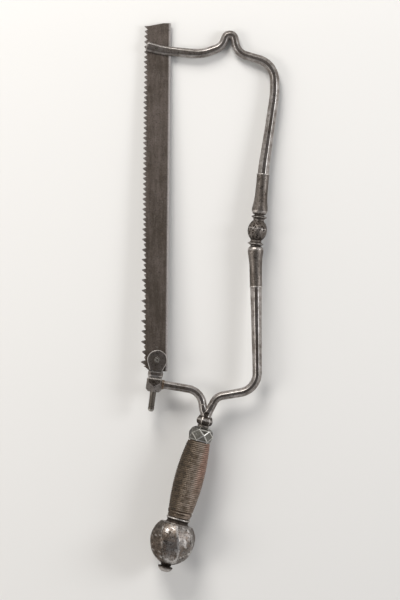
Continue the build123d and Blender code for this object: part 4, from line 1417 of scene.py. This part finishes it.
def makeKnop():
    axis = leaning(baluster["knopLean"])
    side = axis.cross(up)
    ball = facetShell("ball", knop["rings"], knopCentre, axis, side, radians(knop["turn"]), knop)
    lower = [(-height, radius) for height, radius in reversed(knop["flange"])]
    profile = turnedProfile({**knop, "profile": lower + knop["flange"]})
    body = lathe("chiselled_knop", profile, knopCentre, axis, side, rough=knop["rough"] * mm)
    mesh = darkenedCreases(combined(body, [ball], "UNION"), knop["crease"])
    newPiece("chiselled_knop", flatShaded(mesh), "turned_iron", "centre_knop")


# Clevis and eye block

clevis = {
    "shankEnd": 28.4,
    "rootEnd": 32.4,
    "rootRadius": 3.3,
    "studEnd": 52.0,
    "tipRound": 2.6,
    "radius": 3.1,
    "grooveFrom": 46.4,
    "grooveTo": 47.2,
    "grooveDepth": 0.3,
    "threadDepth": 0.22,
    "threadPitch": 1.3,
    "threadStep": 0.22,      # between the stud's rings of points
    "tipStep": 0.14,
    "studStops": 48,
    "bevel": 0.3,
    "sharp": 16,             # degrees from which an edge is rounded
    "above": -15,            # a drop above the ears
    "beyond": 60,            # and one below the stud
    "slotFloor": 17.0,
    "slotHalf": 1.0,
    # drop, half the width, half the front's width, which narrows, and height of the side and the front
    "shoulder": [(10.9, 6.4, 5.2, 1.2, 3.3), (12.4, 7.5, 5.8, 2.0, 4.7), (15.4, 7.5, 4.4, 2.0, 4.7),
                 (18.0, 6.8, 1.6, 2.0, 3.7)],
}


def clevisSpot(across, drop, rise):
    return pivot + clevisSide * (across * mm) - clevisAxis * (drop * mm) + up * (rise * mm)


def clevisBox(half, top, end, rise):
    # a box square to the clevis
    mesh = boxMesh((-half * mm, -end * mm, -rise * mm), (half * mm, -top * mm, rise * mm))
    mesh.transform(placed(pivot, clevisSide, clevisAxis, up))
    return mesh


def clevisLitAndShaded(normal, spot):
    # slanting faces painted bright as highlights round the ears, on the shoulder's ledge and on its lower
    # corners, less between; broad faces painted darker as shade, more on the shoulder
    drop = (pivot - spot).dot(clevisAxis) / mm
    top, ledge, waist = (ring[0] for ring in clevis["shoulder"][:3])
    if slanting(normal):
        return 1.0 if drop < ledge or drop > waist else -0.1
    return -0.25 if drop < top else -0.5


def makeClevis():
    rings = []
    for drop, wide, half, side, rise in clevis["shoulder"]:
        rings.append([clevisSpot(x, drop, z) for x, z in mirrored([(wide, side), (half, rise)])])
    shoulder = skin("shoulder", rings, [[0.0] * 8] * len(rings))
    slot = clevisBox(12, clevis["above"], clevis["slotFloor"], clevis["slotHalf"])
    shoulder = combined(shoulder, [slot], "DIFFERENCE")
    # the solid's own shoulder and stud make way
    cutters = [
        clevisBox(9, clevis["shoulder"][0][0] + 0.02, clevis["shoulder"][-1][0], 8),
        clevisBox(6, clevis["shankEnd"], clevis["beyond"], 6),
    ]
    mesh = bevelled(
        "tension_clevis", "tension_ears", clevis["bevel"], clevis["sharp"], cutters, [shoulder], clevisLitAndShaded)
    newPiece("tension_ears", mesh, "forged_iron", "tension_clevis", "clevis")
    newPiece("tension_stud", makeStud(), "pin_steel", None, "clevis")


def studRadius(drop, angle):
    if drop < clevis["rootEnd"]:
        return clevis["rootRadius"]
    if clevis["grooveFrom"] < drop < clevis["grooveTo"]:
        return clevis["radius"] - clevis["grooveDepth"]
    dome = clevis["studEnd"] - clevis["tipRound"]
    if drop > dome:
        return clevis["radius"] - clevis["tipRound"] + sqrt(clevis["tipRound"] ** 2 - (drop - dome) ** 2)
    turn = (drop / clevis["threadPitch"] - angle / (2 * pi)) % 1
    fade = min(1, max(0, (drop - clevis["rootEnd"] - 1) / 4))
    fade *= min(1, max(0, (clevis["grooveFrom"] - drop) / 2))
    return clevis["radius"] - clevis["threadDepth"] * (1 - abs(turn * 2 - 1)) * fade


def makeStud():
    # a worn thread, a ring and a round tip
    drops = []
    drop = clevis["shankEnd"] - 1
    while drop < clevis["studEnd"] - 0.02:
        drops.append(drop)
        tip = drop >= clevis["studEnd"] - clevis["tipRound"]
        drop += clevis["tipStep"] if tip else clevis["threadStep"]
    drops.append(clevis["studEnd"] - 0.01)
    rings, wears = [], []
    for drop in drops:
        centre = pivot - clevisAxis * (drop * mm)
        tip = drop > clevis["studEnd"] - clevis["tipRound"]
        ring, wear = [], []
        for k in range(clevis["studStops"]):
            angle = 2 * pi * k / clevis["studStops"]
            radius = studRadius(drop, angle)
            ring.append(centre + (clevisSide * cos(angle) + up * sin(angle)) * (radius * mm))
            wear.append(0.85 if tip else (radius - clevis["radius"]) * 2.0)
        rings.append(ring)
        wears.append(wear)
    return skin("stud", rings, wears)


eyeBlock = {
    "prowDrop": 26.4,        # pivot to where the prow begins below the front
    "rise": 5.6,
    "down": 0.40,            # slope of the prow's two planes, down and to their side
    "aside": 0.26,
    "edge": 0.42,
    "sharp": 11,             # degrees from which an edge is rounded
    "cutter": (20, 9),       # half the width of the prow's cutters, and their height
}


def eyeLitAndShaded(normal, _):
    # painted highlights on slanting faces: brightest at the top edge, less on the prow, least on the prow's
    # left; front, back and sides painted dark as shade
    if not slanting(normal):
        return -0.6
    along = normal.dot(clevisAxis)
    if along > 0.3:
        return 1.0
    if along < -0.3:
        return 0.55 if normal.dot(clevisSide) > 0 else 0.35
    return 0.15


def makeEyeBlock():
    # a prow below the front and the back: two planes that meet in a ridge
    cutters = []
    wide, tall = eyeBlock["cutter"]
    for face in (-1, 1):
        for hand in (-1, 1):
            slope = clevisSide * (hand * eyeBlock["aside"]) - clevisAxis * eyeBlock["down"]
            out = (slope + up * face).normalized()
            level = (up * face).cross(out).normalized()
            mesh = boxMesh((-wide * mm, -wide * mm, 0), (wide * mm, wide * mm, tall * mm))
            spot = clevisSpot(0, eyeBlock["prowDrop"], face * eyeBlock["rise"])
            mesh.transform(placed(spot, level, out.cross(level), out))
            # only its own side of the middle
            keep = clevisBox(wide, 0, clevis["beyond"], wide)
            keep.transform(Matrix.Translation(clevisSide * (hand * wide * mm)))
            cutters.append(combined(mesh, [keep], "INTERSECT"))
    mesh = bevelled("eye_block", "eye_of_arm", eyeBlock["edge"], eyeBlock["sharp"], cutters, tone=eyeLitAndShaded)
    newPiece("eye_of_arm", mesh, "turned_iron", "eye_block")


smallPieces = [
    # name, node, bevel, degrees from which an edge gets it, finish, body
    ("rivet", "clevis_pin", 0.2, 30, "pin_steel", "clevis"),
    ("rivet_washers", "clevis_pin_washers", 0.22, 30, "pin_steel", "clevis"),
    ("fork_rivet", "blade_hook_pin", 0.12, 30, "pin_steel", "frame"),
    ("brazing", "arm_braze", 0.35, 20, "braze_brass", "frame"),
]


def makeSmallPieces():
    for name, node, bevel, sharp, finish, body in smallPieces:
        newPiece(name, bevelled(node, name, bevel, sharp), finish, node, body)


# Blade

blade = {
    # mm, read by these names in its tree
    "Width": 23.0, "Thickness": 1.6, "Depth": 3.8,
    "Long Depth": 3.85, "Short Depth": 1.2, "Gullet": 0.9,     # of the coarse teeth near the handle
    "Jitter": 0.7, "Set": 0.3, "Tip Thickness": 0.8, "Relief": 1.15,
    "Back Bevel": 1.5, "Back Thickness": 0.45,
    "Head Slope": 3.2, "Head Flat": 7.5, "Tail Corner": 5.2,
    "teeth": 67,
    "fineShare": 0.45,       # of the teeth, from the free end; then they grow coarser
    "coarseShare": 0.82,     # and from here all are coarse
    "rowsPerTooth": 12,
    "tipRow": 4,             # of each tooth; of a coarse one it's the row before
    "steep": 1.18,           # how much sooner than at its tip a tooth is full
    "relief": ((0.946, 0.952), (0.966, 0.972)),    # shares of the length where one tooth is shorter
    "columns": 17,
    "seed": 5.0,
    "weld": 1e-5,
    "creased": 13,
    "cutterHalf": 4.0,
    "pinRadius": 1.8,
    "hookSlot": (-1.8, -3.8, 1.8),   # its inner end, and its lower and upper side, from the hook pin
}


def bladeTree():
    # a sheet of rows and columns: its first column is drawn out into teeth, then it gets its thickness
    graph, given = newTree("toothed_blade", [
        *(label for label in blade if label[0].isupper()),
        "Back", "Low", "High", "Teeth", "Fine Share", "Coarse Share", "Rows", "Columns", "Seed"])
    rowCount = given("Teeth") * given("Rows") + 1.0
    sizes = {"Size X": 1.0, "Size Y": 1.0, "Vertices X": given("Columns"), "Vertices Y": rowCount}
    sheet = graph.add("GeometryNodeMeshGrid", None, sizes)
    place = graph.add("GeometryNodeInputPosition")
    parts = graph.add("ShaderNodeSeparateXYZ", None, {"Vector": place})
    across = parts + 0.5
    down = 0.5 - parts.other("Y")
    # teeth, counted from the free end
    tipShare = blade["tipRow"] / blade["rowsPerTooth"]
    count = down * given("Teeth") + tipShare
    nearest = (count + 0.001).maths("FLOOR")
    phase = count - nearest
    chance, other = (
        graph.add("ShaderNodeTexWhiteNoise", {"noise_dimensions": "1D"}, {"W": nearest + seed})
        for seed in (given("Seed"), given("Seed") * 7.0))
    coarse = down.over(given("Fine Share"), given("Coarse Share"))
    odd = 1.0 - nearest % 2.0
    even = given("Depth")
    pair = given("Short Depth") + (given("Long Depth") - given("Short Depth")) * odd
    depth = even + (pair - even) * coarse - chance * given("Jitter")
    # one tooth passes close over the slot's floor as the blade swings out
    begins, ends = blade["relief"]
    depth = depth - down.over(*begins) * (1.0 - down.over(*ends)) * given("Relief")
    tipAt = tipShare - (coarse.maths("GREATER_THAN", 0.5) * (1 / blade["rowsPerTooth"]))
    rise = (phase / tipAt).maths("MINIMUM", (1.0 - phase) / (1.0 - tipAt))
    rise = (rise * blade["steep"]).maths("MINIMUM", 1.0)
    column = across * (given("Columns") - 1.0)
    edge = (1.0 - column).clamped()
    inner = coarse * given("Gullet") * edge
    tooth = rise * (depth + coarse * given("Gullet")) * edge
    # outline
    flatTo = given("Back") - given("Back Bevel")
    root = given("Back") - given("Width")
    body = (column / (given("Columns") - 2.0)).maths("MINIMUM", 1.0)
    last = (column - (given("Columns") - 2.0)).clamped()
    x = root + (flatTo - root) * body + given("Back Bevel") * last + inner
    slope = ((given("Back") - x - given("Head Flat")) / (given("Width") - given("Head Flat"))).clamped()
    high = given("High") - slope * given("Head Slope")
    corner = (given("Tail Corner") - (x - root)).maths("MAXIMUM", 0.0)
    low = given("Low") + corner
    wander = (other - 0.5) * given("Jitter") * edge * rise
    y = high + (low - high) * down + wander
    half = given("Thickness") * 0.5 - (given("Thickness") - given("Back Thickness")) * 0.5 * last
    half = half - (given("Thickness") - given("Tip Thickness")) * 0.5 * rise * edge
    lean = given("Set") * rise * edge * (odd * 2.0 - 1.0)
    topRow = (1.0 - down * (rowCount - 1.0)).clamped()
    # the back bevel and the line where it begins painted bright as a highlight as well as scuffed; tooth
    # tips and the top row scuffed bright
    wear = (last * 0.3 + body.over(0.999, 1.0) * 0.9).maths("MAXIMUM", rise * edge * 0.7)
    wear = wear.maths("MAXIMUM", topRow * 0.8)
    spot = graph.add("ShaderNodeCombineXYZ", None, {"X": x - tooth, "Y": y, "Z": 0.0})
    named = {"data_type": "FLOAT", "domain": "POINT"}
    for name, value in (("wear", wear), ("half", half), ("lean", lean)):
        stored = {"Geometry": sheet, "Name": name, "Value": value}
        sheet = graph.add("GeometryNodeStoreNamedAttribute", named, stored)
    sheet = graph.add("GeometryNodeSetPosition", None, {"Geometry": sheet, "Position": spot})
    thick = graph.add("GeometryNodeInputNamedAttribute", {"data_type": "FLOAT"}, {"Name": "half"})
    bent = graph.add("GeometryNodeInputNamedAttribute", {"data_type": "FLOAT"}, {"Name": "lean"})
    under = graph.add("ShaderNodeCombineXYZ", None, {"Z": bent - thick})
    sheet = graph.add("GeometryNodeSetPosition", None, {"Geometry": sheet, "Offset": under})
    whole = {"Mesh": sheet, "Offset Scale": 0.0, "Individual": False}
    walls = graph.add("GeometryNodeExtrudeMesh", {"mode": "FACES"}, whole)
    lifted = graph.add("ShaderNodeCombineXYZ", None, {"Z": thick * 2.0})
    moved = {"Geometry": walls, "Selection": walls.other("Top"), "Offset": lifted}
    walls = graph.add("GeometryNodeSetPosition", None, moved)
    bottom = graph.add("GeometryNodeFlipFaces", None, {"Mesh": sheet})
    solid = graph.add("GeometryNodeJoinGeometry", None, {"Geometry": bottom})
    graph.feed(solid.socket.node, {"Geometry": walls})
    solid = graph.add("GeometryNodeMergeByDistance", None, {"Geometry": solid, "Distance": blade["weld"]})
    return endTree(graph, solid, given("Finish"))


def makeBlade():
    low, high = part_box("blade")
    values = {label: value * mm for label, value in blade.items() if label[0].isupper()}
    values.update({
        "Back": bladeBack, "Low": low.y, "High": high.y, "Teeth": blade["teeth"],
        "Fine Share": blade["fineShare"], "Coarse Share": blade["coarseShare"],
        "Rows": blade["rowsPerTooth"], "Columns": blade["columns"], "Seed": blade["seed"],
        "Finish": materials["blade_steel"],
    })
    mesh = grown(bladeTree(), values, "saw_blade")
    inner, lower, upper = (value * mm for value in blade["hookSlot"])
    reach = blade["cutterHalf"] * mm
    cutters = [
        rodMesh(pivot, blade["pinRadius"] * mm, reach),
        boxMesh((hook.x + inner, hook.y + lower, -reach), (bladeBack + reach, hook.y + upper, reach)),
    ]
    mesh = combined(mesh, cutters, "DIFFERENCE")
    mesh.shade_smooth()
    mesh.set_sharp_from_angle(angle=radians(blade["creased"]))
    newPiece("saw_blade", mesh, "blade_steel", "blade", "blade")


# Studio floor: it rises to the bow, so that pommel and bow both rest on it, and falls away behind

def makeFloor():
    pommelLow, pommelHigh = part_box("pommel")
    nearY = (pommelLow.y + pommelHigh.y) / 2
    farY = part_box("upper_bow")[1].y - studio["bowInset"] * mm
    slope = (studio["bowRest"] * mm - pommelLow.z) / (farY - nearY)
    half = studio["floorSize"] / 2
    crestHalf = studio["crest"]
    crest = farY + crestHalf
    rows = [-half, *(crest + crestHalf * (k / 8 - 1) for k in range(17)), half]
    corners = []
    for y in rows:
        away = min(max(y - crest, -crestHalf), crestHalf)
        turned = (away + crestHalf) ** 2 / (2 * crestHalf) + 2 * max(y - crest - crestHalf, 0)
        for x in (-half, half):
            corners.append((x, y, pommelLow.z + (y - nearY - turned) * slope))
    faces = [(2 * k, 2 * k + 1, 2 * k + 3, 2 * k + 2) for k in range(len(rows) - 1)]
    mesh = meshOf("studio_floor", corners, faces, [0.0] * len(corners))
    mesh.materials.append(materials["studio_floor"])
    floor = bpy.data.objects.new("studio_floor", mesh)
    bpy.context.scene.collection.objects.link(floor)


stages = {
    "studio set": [setCamera, setLamps, makeFloor],
    "handle made": [makeButton, makePommel, makeCollar, makeCore, makeWinding, makeFerrule, makeNeck],
    "frame made": [makeYoke, makeArm, makeLowerBow, makeUpperBow, makeSleeves, makeKnop],
    "clevis and blade made": [makeClevis, makeEyeBlock, makeSmallPieces, makeBlade],
}
for stage, makers in stages.items():
    for make in makers:
        make()
    print(stage)
